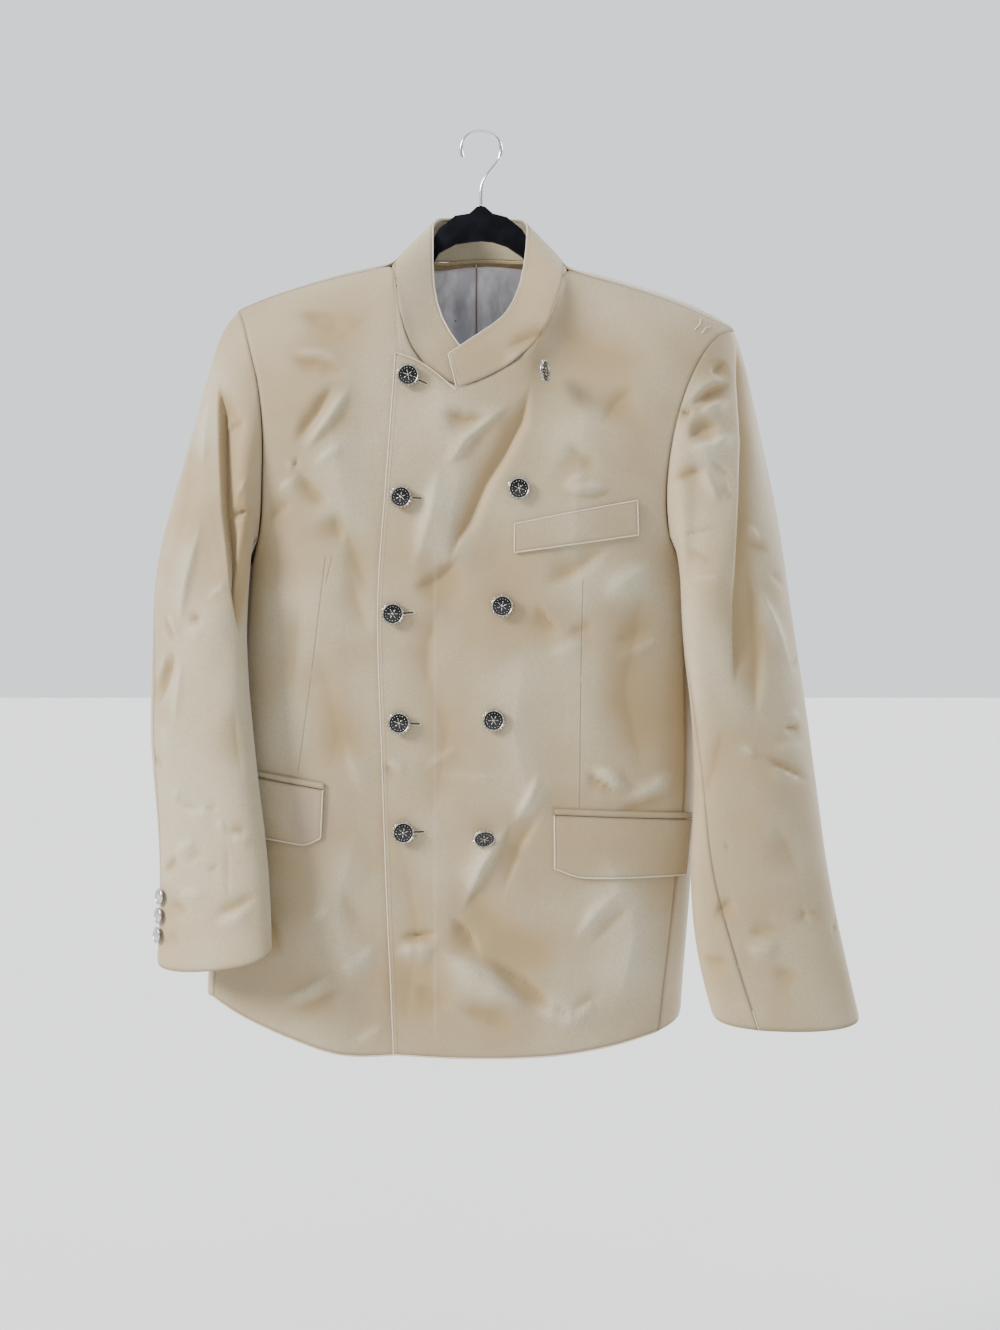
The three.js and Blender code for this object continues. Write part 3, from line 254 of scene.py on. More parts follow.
def panel_mesh(name, grid):
    """A one-sided mesh of a panel with its threads' directions as its UV map, in metres of cloth."""
    rows, columns = grid.shape[:2]
    number = np.arange(rows * columns).reshape(rows, columns)
    quads = np.stack([number[:-1, :-1], number[:-1, 1:], number[1:, 1:], number[1:, :-1]], axis=2)
    mesh = bpy.data.meshes.new(name)
    mesh.from_pydata(grid.reshape(-1, 3).tolist(), [], quads.reshape(-1, 4).tolist())
    cloth_place = np.stack([lengths_along(grid, 1), lengths_along(grid, 0)], axis=2).reshape(-1, 2)
    threads = mesh.uv_layers.new(name="threads")
    threads.data.foreach_set("uv", cloth_place[quads.reshape(-1)].ravel())
    return linked(name, mesh)


def read_points(mesh, field, source="vertices"):
    values = np.empty(len(getattr(mesh, source)) * 3)
    getattr(mesh, source).foreach_get(field, values)
    return values.reshape(-1, 3)


def ease(t):
    t = np.clip(t, 0, 1)
    return t * t * (3 - 2 * t)


def crease_height(points, creases):
    """Height of all the creases at each point, in metres, from the point's x and z."""
    x, z = points[:, 0] / MM, points[:, 2] / MM
    total = np.zeros(len(points))
    for path, half_width, lean, height in creases:
        path = np.array(path, float)
        runs = np.linalg.norm(np.diff(path, axis=0), axis=1)
        nearest = np.full(len(points), 1e9)
        along = np.zeros(len(points))
        side = np.zeros(len(points))
        for k, run in enumerate(runs):
            (x0, z0), (dx, dz) = path[k], (path[k + 1] - path[k]) / run
            forward = (x - x0) * dx + (z - z0) * dz
            right = (x - x0) * dz - (z - z0) * dx
            held = np.clip(forward, 0, run)
            distance = np.hypot(forward - held, right)
            closer = distance < nearest
            nearest[closer] = distance[closer]
            along[closer] = ((held + runs[:k].sum()) / runs.sum())[closer]
            side[closer] = right[closer]
        fade = min(CREASE_FADE, LONGEST_FADE / runs.sum())
        ends = ease(along / fade) * ease((1 - along) / fade)
        width = half_width * np.where(side > 0, 1 + lean, 1 - lean) * (END_WIDTH + (1 - END_WIDTH) * ends)
        soft, sharp = np.exp(-((nearest / width) ** 2)), np.exp(-SHARP_FALL * nearest / width)
        total += CREASE_DEPTH * height * MM * ends * (SOFT_SHARE * soft + (1 - SOFT_SHARE) * sharp)
    return total


def edge_distance(panel):
    """Distance of each point of a one-sided panel from its nearest cut edge."""
    shell = bmesh.new()
    shell.from_mesh(panel.data)
    rim = [point.co.copy() for point in shell.verts if point.is_boundary]
    shell.free()
    tree = KDTree(len(rim))
    for i, point in enumerate(rim):
        tree.insert(point, i)
    tree.balance()
    return np.array([tree.find(point.co)[2] for point in panel.data.vertices])


def point_threads(mesh):
    """Each point's place in the cloth, in metres along its two thread directions."""
    corners = np.empty(len(mesh.loops), dtype=np.int64)
    mesh.loops.foreach_get("vertex_index", corners)
    threads = np.empty(len(mesh.loops) * 2)
    mesh.uv_layers["threads"].data.foreach_get("uv", threads)
    place = np.zeros((len(mesh.vertices), 2))
    place[corners] = threads.reshape(-1, 2)
    return place


def shape_cloth(panel, laid):
    """Moves a panel's points in or out: its creases, its pressed edges and the puckers beside its seams."""
    mesh = panel.data
    points = read_points(mesh, "co")
    normals = read_points(mesh, "vector", "vertex_normals")
    inward = edge_distance(panel)
    run = point_threads(mesh).sum(axis=1) / PUCKER_PITCH
    waves = np.sin(2 * math.pi * run + 1.7 * np.sin(1.9 * run)) * (0.6 + 0.4 * np.sin(0.7 * run))
    height = np.zeros(len(points))
    for creases, facing in laid:
        height += crease_height(points, creases) * np.clip((normals @ np.array(facing) - 0.05) / 0.45, 0, 1)
    folded = height.copy()
    height -= EDGE_ROLL * np.clip(1 - inward / EDGE_ROLL_WIDTH, 0, 1) ** 2
    height += PUCKER * waves * np.exp(-inward / PUCKER_REACH)
    points += normals * height[:, None]
    mesh.vertices.foreach_set("co", points.ravel())
    # Nearness to the cut edge, which the gabardine paints as shade along its edges and seams.
    seam = mesh.attributes.new("seam", "FLOAT", "POINT")
    seam.data.foreach_set("value", np.exp(-inward / SEAM_SHADE_WIDTH))
    # The crease height, which the gabardine paints as shade in troughs and highlight on ridges.
    fold = mesh.attributes.new("fold", "FLOAT", "POINT")
    fold.data.foreach_set("value", np.clip(0.5 + folded / FOLD_SPAN, 0, 1))
    mesh.update()


def bare_mesh(panel):
    points = [point.co.copy() for point in panel.data.vertices]
    return points, [tuple(face.vertices) for face in panel.data.polygons]


def soften(grid, column, above):
    """Evens out a grid's inner points beside one column and above a height, where the neck's corner pulls."""
    grid = grid.copy()
    near = np.exp(-(((np.arange(grid.shape[1]) - column) / NECK_SPREAD) ** 2))[None, 1:-1]
    share = 0.55 * near * ease((grid[1:-1, 1:-1, 2] - above) / (60 * MM))
    for turn in range(40):
        around = (grid[1:-1, :-2] + grid[1:-1, 2:] + grid[:-2, 1:-1] + grid[2:, 1:-1]) / 4
        grid[1:-1, 1:-1] += share[:, :, None] * (around - grid[1:-1, 1:-1])
    return grid


def tuck_under(panel, cover):
    """Moves the points that another piece covers back behind that piece's inner face."""
    for point in panel.data.vertices:
        seen_from = Vector((point.co.x, -0.5, point.co.z))
        hit = surfaces[cover].ray_cast(seen_from, Vector((0, 1, 0)))[0]
        if hit and abs(hit.y - point.co.y) < COVER_DEPTH:
            point.co.y = max(point.co.y, hit.y + CLOTH_WALL + COVER_GAP)


def cloth_piece(node, laid, material, wall=CLOTH_WALL, levels=PANEL_LEVELS, under=None, softened=None):
    """A cloth panel on its solid's form: refined, creased, pressed back at its edges and given its wall."""
    grid = grid_of(node)
    if softened:
        grid = soften(grid, *softened)
    panel = panel_mesh("cloth_" + node, grid)
    apply_modifier(panel, "SUBSURF", levels=levels, render_levels=levels, boundary_smooth="PRESERVE_CORNERS")
    shape_cloth(panel, laid)
    if under:
        tuck_under(panel, under)
    surfaces[node] = BVHTree.FromPolygons(*bare_mesh(panel))
    place = point_threads(panel.data)
    width, length = np.ptp(place, axis=0)
    apply_modifier(panel, "SOLIDIFY", thickness=wall, offset=-1.0)
    bpy.ops.object.shade_smooth_by_angle(angle=math.radians(60))
    panel.data.materials.append(material)
    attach(panel, "root")
    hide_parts(node)
    width, length = max(width, NARROWEST_CUT), max(length, NARROWEST_CUT)


def new_material(name, colour, roughness, metallic=0.0):
    """A material with its tree, its shader and the place on the piece that its patterns follow."""
    material = bpy.data.materials.new(name)
    material.use_nodes = True
    shader = material.node_tree.nodes["Principled BSDF"]
    shader.inputs["Base Color"].default_value = (*colour, 1)
    shader.inputs["Roughness"].default_value = roughness
    shader.inputs["Metallic"].default_value = metallic
    place = node(material.node_tree, "TexCoord").outputs["Object"]
    return material, material.node_tree, shader, place


def node(tree, kind, inputs=None, **settings):
    """Adds a shader node. Inputs are given by name or number, as values or as other nodes' outputs."""
    made = tree.nodes.new("ShaderNode" + kind)
    for name, value in settings.items():
        setattr(made, name, value)
    for name, value in (inputs or {}).items():
        if isinstance(value, bpy.types.NodeSocket):
            tree.links.new(value, made.inputs[name])
        else:
            made.inputs[name].default_value = value
    return made


def maths(tree, operation, *values):
    return node(tree, "Math", dict(enumerate(values)), operation=operation).outputs[0]


def set_by(tree, shader, name, value):
    tree.links.new(value, shader.inputs[name])


def mixed(tree, share, one, other):
    made = node(tree, "Mix", {0: share}, data_type="RGBA")
    for socket, colour in ((made.inputs[6], one), (made.inputs[7], other)):
        if isinstance(colour, bpy.types.NodeSocket):
            tree.links.new(colour, socket)
        else:
            socket.default_value = (*colour, 1)
    return made.outputs[2]


def ramp(tree, value, low, high):
    made = node(tree, "MapRange", {"Value": value, "From Min": low, "From Max": high})
    made.interpolation_type = "SMOOTHSTEP"
    return made.outputs["Result"]


def noise(tree, place, scale, detail=3.0):
    return node(tree, "TexNoise", {"Vector": place, "Scale": scale, "Detail": detail}).outputs[0]


def bumped(tree, shader, height, distance, strength=1.0):
    bump = node(tree, "Bump", {"Height": height, "Distance": distance, "Strength": strength})
    tree.links.new(bump.outputs["Normal"], shader.inputs["Normal"])


def line_mask(tree, x, z, start, end, width):
    """1 on a straight line from start to end, (x, z) in mm seen from the front, fading over its width."""
    (x0, z0), (x1, z1) = start, end
    t = maths(tree, "DIVIDE", maths(tree, "SUBTRACT", z, z0 * MM), (z1 - z0) * MM)
    line_x = maths(tree, "MULTIPLY_ADD", t, (x1 - x0) * MM, x0 * MM)
    off = maths(tree, "ABSOLUTE", maths(tree, "SUBTRACT", x, line_x))
    on_line = ramp(tree, off, width * MM, 0.25 * width * MM)
    ends = maths(tree, "MULTIPLY", ramp(tree, t, -0.01, 0.04), ramp(tree, t, 1.01, 0.93))
    return maths(tree, "MULTIPLY", on_line, ends)


def gabardine_material(name, marks=None):
    """Twill cloth on the piece's own threads, with painted shade and highlight; marks adds a front's lines
    and stain to its colour.
    """
    material, tree, shader, place = new_material(name, CLOTH_COLOUR, 0.58)
    shader.inputs["Sheen Weight"].default_value = 0.30
    shader.inputs["Sheen Roughness"].default_value = 0.45
    shader.inputs["Sheen Tint"].default_value = (0.86, 0.92, 1.0, 1)
    shader.inputs["Specular IOR Level"].default_value = 0.38
    threads = node(tree, "UVMap", uv_map="threads").outputs["UV"]
    turn = 2 * math.pi / TWILL_PITCH
    slant = {0: threads, 1: (0.5 * turn, 0.87 * turn, 0)}
    twill = maths(tree, "SINE", node(tree, "VectorMath", slant, operation="DOT_PRODUCT").outputs["Value"])
    slub = noise(tree, place, 620.0, 3.0)
    cockle = noise(tree, place, 60.0, 3.0)
    broad = ramp(tree, noise(tree, place, 6.0, 2.0), 0.36, 0.64)
    patches = ramp(tree, noise(tree, place, 17.0, 3.0), 0.36, 0.66)
    broad = maths(tree, "MULTIPLY_ADD", patches, 0.28, maths(tree, "MULTIPLY", broad, 0.60))
    # Painted shade and highlight: the crease height paints troughs deep and warm and ridges pale, mixed with
    # random patches of tone.
    fold = node(tree, "Attribute", attribute_name="fold").outputs["Fac"]
    patches_and_fold_shade = maths(tree, "MULTIPLY_ADD", fold, 0.90, -0.18)
    patches_and_fold_shade = maths(tree, "ADD", maths(tree, "MULTIPLY", broad, 0.46), patches_and_fold_shade)
    colour = mixed(tree, ramp(tree, patches_and_fold_shade, 0.0, 1.0), CLOTH_DEEP, CLOTH_PALE)
    colour = mixed(tree, 0.18, colour, CLOTH_COLOUR)
    colour = mixed(tree, maths(tree, "MULTIPLY", ramp(tree, slub, 0.36, 0.64), 0.26), colour, CLOTH_DEEP)
    # Painted shade along every cut edge and seam, where the pressed edge dips.
    seam = node(tree, "Attribute", attribute_name="seam").outputs["Fac"]
    colour = mixed(tree, maths(tree, "MULTIPLY", seam, 0.8), colour, CLOTH_SHADE)
    groove = 0.0
    if marks:
        colour, groove = marks(tree, place, colour)
    set_by(tree, shader, "Base Color", colour)
    height = maths(tree, "MULTIPLY_ADD", twill, 0.10, maths(tree, "MULTIPLY", slub, 0.5))
    height = maths(tree, "MULTIPLY_ADD", cockle, 0.9, height)
    height = maths(tree, "SUBTRACT", height, groove)
    bumped(tree, shader, height, 0.25 * MM, 0.8)
    rough = maths(tree, "MULTIPLY_ADD", broad, 0.08, 0.52)
    set_by(tree, shader, "Roughness", rough)
    return material


gabardine = gabardine_material("gabardine")
FRONT, BACK = (0, -1, 0), (0, 1, 0)
surfaces = {}
cloth_piece("back_left", [(BACK_CREASES, BACK)], gabardine)
cloth_piece("back_right", [(BACK_CREASES, BACK)], gabardine)

# The side panels: a narrow panel of the same gabardine under each arm. It is sewn to the front and the back
# with pressed seams, and shapes the waist.
cloth_piece("side_left", [(BACK_CREASES, BACK)], gabardine)
cloth_piece("side_right", [(BACK_CREASES, BACK)], gabardine)

# The fronts: the left one laps over the right one. Each is shaped by a dart from the chest to the pocket, and
# its edges are faced and pressed. The jacket is worn, with soft creases where it hung and lay folded, and a
# dull stain on the right pocket's flap and beside it.
FRONT_CREASES = [
    ([(46, -242), (38, -277), (22, -308), (5, -334), (-9, -366), (-21, -384), (-29, -408)], 9, 0.35, -3.5),
    ([(28, -262), (7, -277), (-13, -295), (-21, -308), (-36, -321)], 9, 0.5, 3),
    ([(-36, -314), (-46, -365), (-62, -415)], 15, -0.4, 2.6),
    ([(-40, -267), (-12, -276), (18, -274)], 14, 0.55, -3),
    ([(-64, -430), (-38, -418), (-17, -399)], 13, 0.6, -2.6),
    ([(-36, -439), (-47, -479), (-47, -520)], 15, 0.35, -1.5),
    ([(77, -294), (92, -310), (112, -321)], 13, 0.5, -1.8),
    ([(142, -243), (123, -260), (108, -280)], 15, -0.4, -1.6),
    ([(72, -343), (97, -344), (122, -340)], 4, 0.55, -1.6),
    ([(72, -334), (95, -337), (119, -334)], 7, 0.6, 1.8),
    ([(73, -336), (99, -322)], 5, 0.35, 1),
    ([(119, -386), (88, -410), (54, -428)], 13, 0.5, -2.4),
    ([(162, -402), (134, -418), (108, -439)], 15, -0.4, 1.8),
    ([(50, -442), (60, -458), (74, -470)], 7, 0.55, -1.6),
    ([(74, -470), (90, -464), (104, -455)], 7, 0.6, -1.2),
    ([(58, -488), (99, -475)], 10, 0.35, 1.4),
    ([(117, -491), (144, -482), (170, -468)], 5, 0.5, 1.1),
    ([(112, -480), (138, -471), (162, -458)], 6, -0.4, -0.9),
    ([(-87, -583), (-80, -593), (-71, -599)], 3.5, 0.55, -1.1),
    ([(-84, -580), (-64, -592)], 4, 0.6, 0.9),
    ([(-53, -592), (-17, -569)], 6, 0.35, 1),
    ([(-51, -593), (-9, -598), (34, -597)], 4, 0.5, 0.8),
    ([(54, -592), (44, -618), (28, -642)], 8, -0.4, 2.2),
    ([(30, -637), (3, -678), (-18, -722)], 8, 0.55, 3),
    ([(61, -619), (35, -662), (18, -710)], 9, 0.6, -1.5),
    ([(-79, -758), (-58, -752), (-36, -752)], 11, 0.35, 2.8),
    ([(-40, -753), (7, -780), (50, -811)], 14, 0.5, 3.6),
    ([(45, -807), (73, -816), (99, -829)], 12, -0.4, 2.2),
    ([(-76, -742), (-55, -741), (-35, -737)], 6, 0.55, -2.4),
    ([(-28, -723), (-10, -741), (3, -762)], 7, 0.6, -2.6),
    ([(1, -759), (41, -786), (77, -817)], 7, 0.35, -2.8),
    ([(-62, -786), (-42, -795), (-23, -807)], 9, 0.5, -2),
    ([(-25, -806), (6, -815), (36, -827)], 10, -0.4, -1.8),
    ([(65, -801), (83, -818)], 4, 0.55, -1.4),
    ([(83, -819), (105, -800)], 5, 0.6, 1.5),
    ([(77, -809), (95, -802), (112, -791)], 5, 0.35, -1),
    ([(84, -746), (104, -720), (130, -699)], 10, 0.5, 2),
    ([(99, -753), (120, -729), (144, -710)], 9, -0.4, -1.5),
    ([(93, -594), (111, -604), (127, -618)], 5, 0.55, -2.2),
    ([(99, -589), (119, -597), (137, -610)], 10, 0.6, 2.6),
    ([(127, -619), (156, -609), (182, -592)], 9, 0.35, 2),
    ([(117, -630), (148, -623), (177, -610)], 8, 0.5, -1.4),
    ([(-161, -305), (-137, -275), (-115, -243)], 8, -0.4, 3.2),
    ([(-172, -298), (-149, -270), (-131, -238)], 15, 0.55, -3.4),
    ([(-154, -318), (-120, -293)], 5, 0.6, 1.3),
    ([(-167, -319), (-151, -341), (-132, -359)], 7, 0.35, -2.4),
    ([(-134, -357), (-125, -389)], 12, 0.5, -1.8),
    ([(-176, -308), (-163, -319)], 3, -0.4, -1.4),
    ([(-167, -305), (-174, -323)], 3, 0.55, 1.2),
    ([(-186, -341), (-165, -325)], 6, 0.6, 1.3),
    ([(-176, -218), (-145, -224), (-116, -234)], 8, 0.35, -2.6),
    ([(-172, -209), (-144, -214), (-118, -224)], 8, 0.5, 1.4),
    ([(-197, -366), (-183, -356), (-167, -348)], 8, -0.4, -1),
    ([(-163, -430), (-169, -479), (-170, -529)], 14, 0.55, -1),
    ([(-184, -803), (-157, -791), (-132, -776)], 7, 0.6, 1.8),
    ([(-134, -776), (-110, -764), (-90, -748)], 7, 0.35, 1.6),
    ([(-177, -813), (-148, -802), (-122, -786)], 8, 0.5, -1.5),
    ([(-156, -729), (-130, -714)], 6, -0.4, 1.3),
    ([(-116, -840), (-84, -820)], 6, 0.55, 1.3),
    ([(-208, -710), (-190, -735), (-177, -764)], 12, 0.6, -1.6),
    ([(-127, -692), (-117, -718), (-102, -741)], 12, 0.35, -1.2),
    ([(-118, -412), (-110, -444), (-98, -475)], 12, 0.5, -1.3),
    ([(-122, -565), (-114, -593), (-102, -619)], 10, -0.4, 1),
]
FRONT_WAVES = [
    ([(-40, -230), (-20, -330), (-34, -420)], 30, 0, 1.6),
    ([(96, -250), (84, -380), (100, -470)], 34, 0, 1.5),
    ([(150, -420), (132, -520), (150, -600)], 26, 0, -1.7),
    ([(-58, -470), (-30, -560), (-44, -640)], 24, 0, -1.5),
    ([(40, -480), (30, -560), (52, -650)], 26, 0, 1.4),
    ([(-140, -260), (-120, -370), (-132, -440)], 28, 0, 1.4),
    ([(-134, -345), (-118, -385), (-100, -440)], 20, 0.4, -2.2),
    ([(-172, -172), (-140, -182), (-112, -198)], 9, 0.4, -2.2),
    ([(-150, -470), (-128, -560), (-140, -600)], 22, 0, -1.4),
    ([(-30, -680), (20, -740), (84, -770)], 26, 0, -1.8),
    ([(110, -660), (140, -740), (124, -810)], 24, 0, 1.7),
    ([(-110, -640), (-130, -720), (-112, -800)], 24, 0, 1.6),
    ([(-70, -660), (-56, -740), (-70, -830)], 20, 0, -1.3),
    ([(60, -180), (110, -215), (170, -225)], 24, 0, -1.3),
    ([(-90, -170), (-130, -205), (-180, -215)], 22, 0, -1.2),
]
# The darts' grooves carry painted shade. The pressed line, where the facing's edge shows through, carries a
# painted highlight.
DARTS = [((-140, -398), (-153, -507), 1.1), ((-153, -507), (-166, -599), 1.0),
         ((-134, -399), (-140, -424), 0.9), ((93, -419), (91, -511), 1.0), ((91, -511), (90, -630), 0.9)]
PRESSED_LINE = ((-41, -350), (-41, -850), 2.6)
STAINS = [((-158, -634), (14, 25)), ((-137, -636), (6, 17))]
STAIN_COLOUR = (0.300, 0.205, 0.165)


def front_marks(tree, place, colour):
    """The dart seams as fine grooves with painted shade, the pressed line down the front as a painted
    highlight, and the stain.
    """
    parts = node(tree, "SeparateXYZ", {0: place})
    x, z = parts.outputs["X"], parts.outputs["Z"]
    groove = 0.0
    for start, end, width in DARTS:
        groove = maths(tree, "MAXIMUM", groove, line_mask(tree, x, z, start, end, width))
    colour = mixed(tree, maths(tree, "MULTIPLY", groove, 0.45), colour, CLOTH_SHADE)
    # A pale line painted along the facing's ridge: painted highlight.
    pressed = line_mask(tree, x, z, *PRESSED_LINE)
    colour = mixed(tree, maths(tree, "MULTIPLY", pressed, 0.16), colour, CLOTH_PALE)
    edge = maths(tree, "MULTIPLY_ADD", noise(tree, place, 90.0, 4.0), 0.9, -0.45)
    stain = 0.0
    for (centre_x, centre_z), (half_x, half_z) in STAINS:
        across = maths(tree, "DIVIDE", maths(tree, "SUBTRACT", x, centre_x * MM), half_x * MM)
        up = maths(tree, "DIVIDE", maths(tree, "SUBTRACT", z, centre_z * MM), half_z * MM)
        round_it = maths(tree, "SQRT", maths(tree, "ADD", maths(tree, "POWER", across, 2.0),
                                             maths(tree, "POWER", up, 2.0)))
        stain = maths(tree, "MAXIMUM", stain, ramp(tree, maths(tree, "ADD", round_it, edge), 1.25, 0.55))
    colour = mixed(tree, maths(tree, "MULTIPLY", stain, 0.42), colour, STAIN_COLOUR)
    return colour, maths(tree, "MULTIPLY", groove, 1.6)


front_gabardine = gabardine_material("gabardine_front", front_marks)
NECK_CORNER = (11, -340 * MM)      # the grid's column at the neck's corner, and how far down it pulls
front_laid = [(FRONT_CREASES + FRONT_WAVES, FRONT)]
cloth_piece("front_left", front_laid, front_gabardine, softened=NECK_CORNER)
cloth_piece("front_right", front_laid, front_gabardine, under="front_left")

# The breast welt: a folded strip of gabardine over the mouth of the breast pocket. It is set into a cut in
# the left front and sewn down at its ends.
cloth_piece("breast_welt", front_laid, gabardine)

# The hip pockets: a narrow gabardine jet along each mouth, and a lined flap that hangs from it with rounded
# corners. Both are sewn into the front along the cut.
for side in ("left", "right"):
    cloth_piece("jet_" + side, front_laid, gabardine)
    cloth_piece("flap_" + side, front_laid, front_gabardine)

# The sleeves: each is a topsleeve and an undersleeve joined by two seams, eased into the armhole. They hang
# from the shoulders nearly empty, with a long lapped fold down the front and broken creases at the elbow.
LEFT_SLEEVE_CREASES = [
    ([(236, -196), (239, -292), (234, -374), (230, -438), (229, -520)], 7, -0.8, -3.2),
    ([(208, -232), (226, -218)], 7, 0.35, -2.4),
    ([(191, -261), (210, -249), (231, -240)], 7, 0.2, -3.2),
    ([(180, -265), (195, -270)], 4, 0.5, -1.8),
    ([(186, -293), (202, -282), (220, -277)], 11, 0.2, -3.2),
    ([(184, -260), (206, -244), (230, -232)], 6, -0.4, 1.5),
    ([(195, -271), (212, -261), (230, -255)], 6, 0.55, 2),
    ([(182, -302), (210, -298), (235, -284)], 8, 0.6, 2.6),
    ([(173, -329), (207, -318)], 7, 0.2, -2.2),
    ([(206, -309), (233, -332)], 4, 0.3, -1),
    ([(202, -319), (217, -354)], 5, 0.35, 1.3),
    ([(219, -328), (225, -341), (235, -352)], 4, 0.5, -1),
    ([(178, -381), (220, -373)], 2.5, -0.4, -0.8),
    ([(188, -421), (225, -417)], 3, 0.55, 0.7),
    ([(184, -391), (217, -409)], 5, 0.6, -0.9),
    ([(237, -366), (256, -386)], 5, 0.35, 1.2),
    ([(238, -384), (266, -393)], 6, 0.5, -1.2),
    ([(261, -411), (280, -427)], 3.5, -0.4, -0.9),
    ([(248, -420), (268, -461), (285, -505)], 7, 0.2, 1.8),
    ([(241, -398), (252, -485), (248, -549)], 12, 0.55, -2.4),
    ([(284, -506), (291, -487)], 3, 0.6, -1.2),
    ([(272, -553), (283, -554), (294, -552)], 3.5, 0.35, -1.8),
    ([(274, -544), (285, -542), (295, -544)], 4, 0.5, 1.3),
    ([(231, -572), (252, -580)], 3.5, -0.4, 1.4),
    ([(252, -577), (303, -603)], 4.5, 0.2, -1.9),
    ([(259, -574), (281, -571), (303, -571)], 5, 0.55, 1.2),
    ([(255, -586), (297, -605)], 6, 0.6, 1.2),
    ([(218, -663), (226, -658)], 3, 0.35, -0.8),
    ([(208, -724), (229, -706)], 7, 0.5, -2),
    ([(237, -740), (275, -734)], 5, -0.4, -1.4),
    ([(237, -753), (271, -748)], 7, 0.55, 1.8),
    ([(284, -727), (297, -718)], 3, 0.6, -1.3),
    ([(295, -718), (314, -728)], 3, 0.35, -1.4),
    ([(294, -725), (308, -721)], 3, 0.5, 1.1),
    ([(321, -745), (326, -729)], 2.5, -0.4, -1.3),
    ([(197, -762), (230, -762)], 6, 0.55, -1.5),
    ([(262, -768), (294, -781)], 9, 0.6, -1.2),
    ([(200, -621), (212, -585), (220, -548)], 12, 0.35, -1),
    ([(264, -639), (280, -665), (292, -694)], 14, 0.5, -1),
]
RIGHT_SLEEVE_CREASES = [
    ([(-240, -235), (-237, -274), (-231, -356), (-223, -422), (-216, -474)], 8, -0.85, -7),
    ([(-247, -244), (-253, -326)], 7, 0.35, 1.8),
    ([(-251, -365), (-264, -417), (-273, -469)], 8, 0.5, 1.8),
    ([(-264, -283), (-278, -401)], 13, -0.4, -1.5),
    ([(-234, -284), (-212, -275)], 4.5, 0.55, -1.6),
    ([(-234, -271), (-226, -281)], 3.5, 0.6, 1.5),
    ([(-225, -354), (-210, -327)], 4, 0.35, 1.3),
    ([(-230, -361), (-203, -356)], 5, 0.3, -2.6),
    ([(-227, -367), (-205, -364)], 5, 0.5, 1.2),
    ([(-216, -374), (-220, -410)], 5, -0.4, 1.3),
    ([(-248, -439), (-226, -422)], 4, 0.55, 1),
    ([(-267, -457), (-248, -451)], 4, 0.6, -1.2),
    ([(-260, -450), (-250, -462)], 3, 0.35, -1),
    ([(-265, -464), (-244, -469)], 5, 0.5, 1),
    ([(-288, -452), (-276, -480)], 4, -0.4, -1.7),
    ([(-284, -449), (-269, -474)], 4, 0.55, 1.3),
    ([(-274, -480), (-296, -540)], 6, 0.3, -3.2),
    ([(-282, -484), (-296, -520)], 3, 0.6, 1.4),
    ([(-268, -488), (-276, -557)], 6, 0.35, 1.3),
    ([(-298, -574), (-286, -594)], 4, 0.5, -1.3),
    ([(-293, -548), (-278, -584)], 5, -0.4, 1),
    ([(-269, -608), (-276, -622)], 4, 0.55, 1.1),
    ([(-271, -620), (-246, -626)], 3.5, 0.6, -1.4),
    ([(-247, -626), (-232, -622)], 3, 0.35, -1.2),
    ([(-269, -626), (-234, -630)], 4, 0.5, 1.3),
    ([(-227, -646), (-202, -644)], 3, -0.4, -1.5),
    ([(-234, -634), (-225, -646)], 3, 0.55, 1.3),
    ([(-223, -651), (-200, -651)], 4, 0.6, 1.2),
    ([(-278, -667), (-253, -654)], 4.5, 0.35, 1.8),
    ([(-288, -687), (-272, -667)], 5, 0.5, -2.2),
    ([(-265, -674), (-244, -663)], 4, -0.4, -1),
    ([(-244, -681), (-232, -674)], 3.5, 0.55, -1.1),
    ([(-224, -648), (-223, -716)], 2.5, 0.6, -0.6),
    ([(-275, -703), (-241, -699)], 5, 0.35, 1.4),
    ([(-283, -706), (-260, -723)], 7, 0.5, -1.6),
    ([(-242, -722), (-215, -711), (-190, -697)], 5, -0.4, -1.9),
    ([(-238, -729), (-218, -722), (-200, -712)], 5, 0.55, 1.5),
    ([(-278, -735), (-269, -753)], 8, 0.6, -1),
    ([(-220, -529), (-217, -566), (-211, -602)], 12, 0.35, -1.2),
]
LEFT_SLEEVE_BACK = [
    ([(238, -215), (244, -300), (240, -372)], 9, 0.3, -2.6),
    ([(240, -366), (252, -440), (262, -500)], 8, 0.3, -2.2),
    ([(205, -260), (232, -282), (262, -290)], 7, 0, -2.0),
    ([(208, -290), (240, -305)], 6, 0, 1.5),
    ([(215, -400), (250, -420), (285, -418)], 5, 0.2, -1.8),
    ([(222, -430), (262, -440)], 5, 0, 1.4),
    ([(230, -480), (268, -498), (300, -490)], 5, 0.2, -2.2),
    ([(236, -505), (280, -512)], 5, 0, 1.5),
    ([(240, -545), (272, -530), (306, -538)], 4, 0, -1.6),
    ([(262, -560), (286, -580)], 4, 0, 1.2),
    ([(286, -580), (270, -602)], 4, 0, -1.1),
    ([(225, -560), (232, -650), (228, -720)], 12, 0, 1.8),
    ([(270, -620), (285, -700)], 11, 0, -1.5),
    ([(215, -735), (250, -750), (290, -742)], 6, 0, -1.4),
    ([(240, -765), (300, -772)], 6, 0, 1.1),
    ([(280, -440), (300, -520)], 9, 0, 1.3),
    ([(250, -330), (272, -350)], 4, 0, -1.1),
]
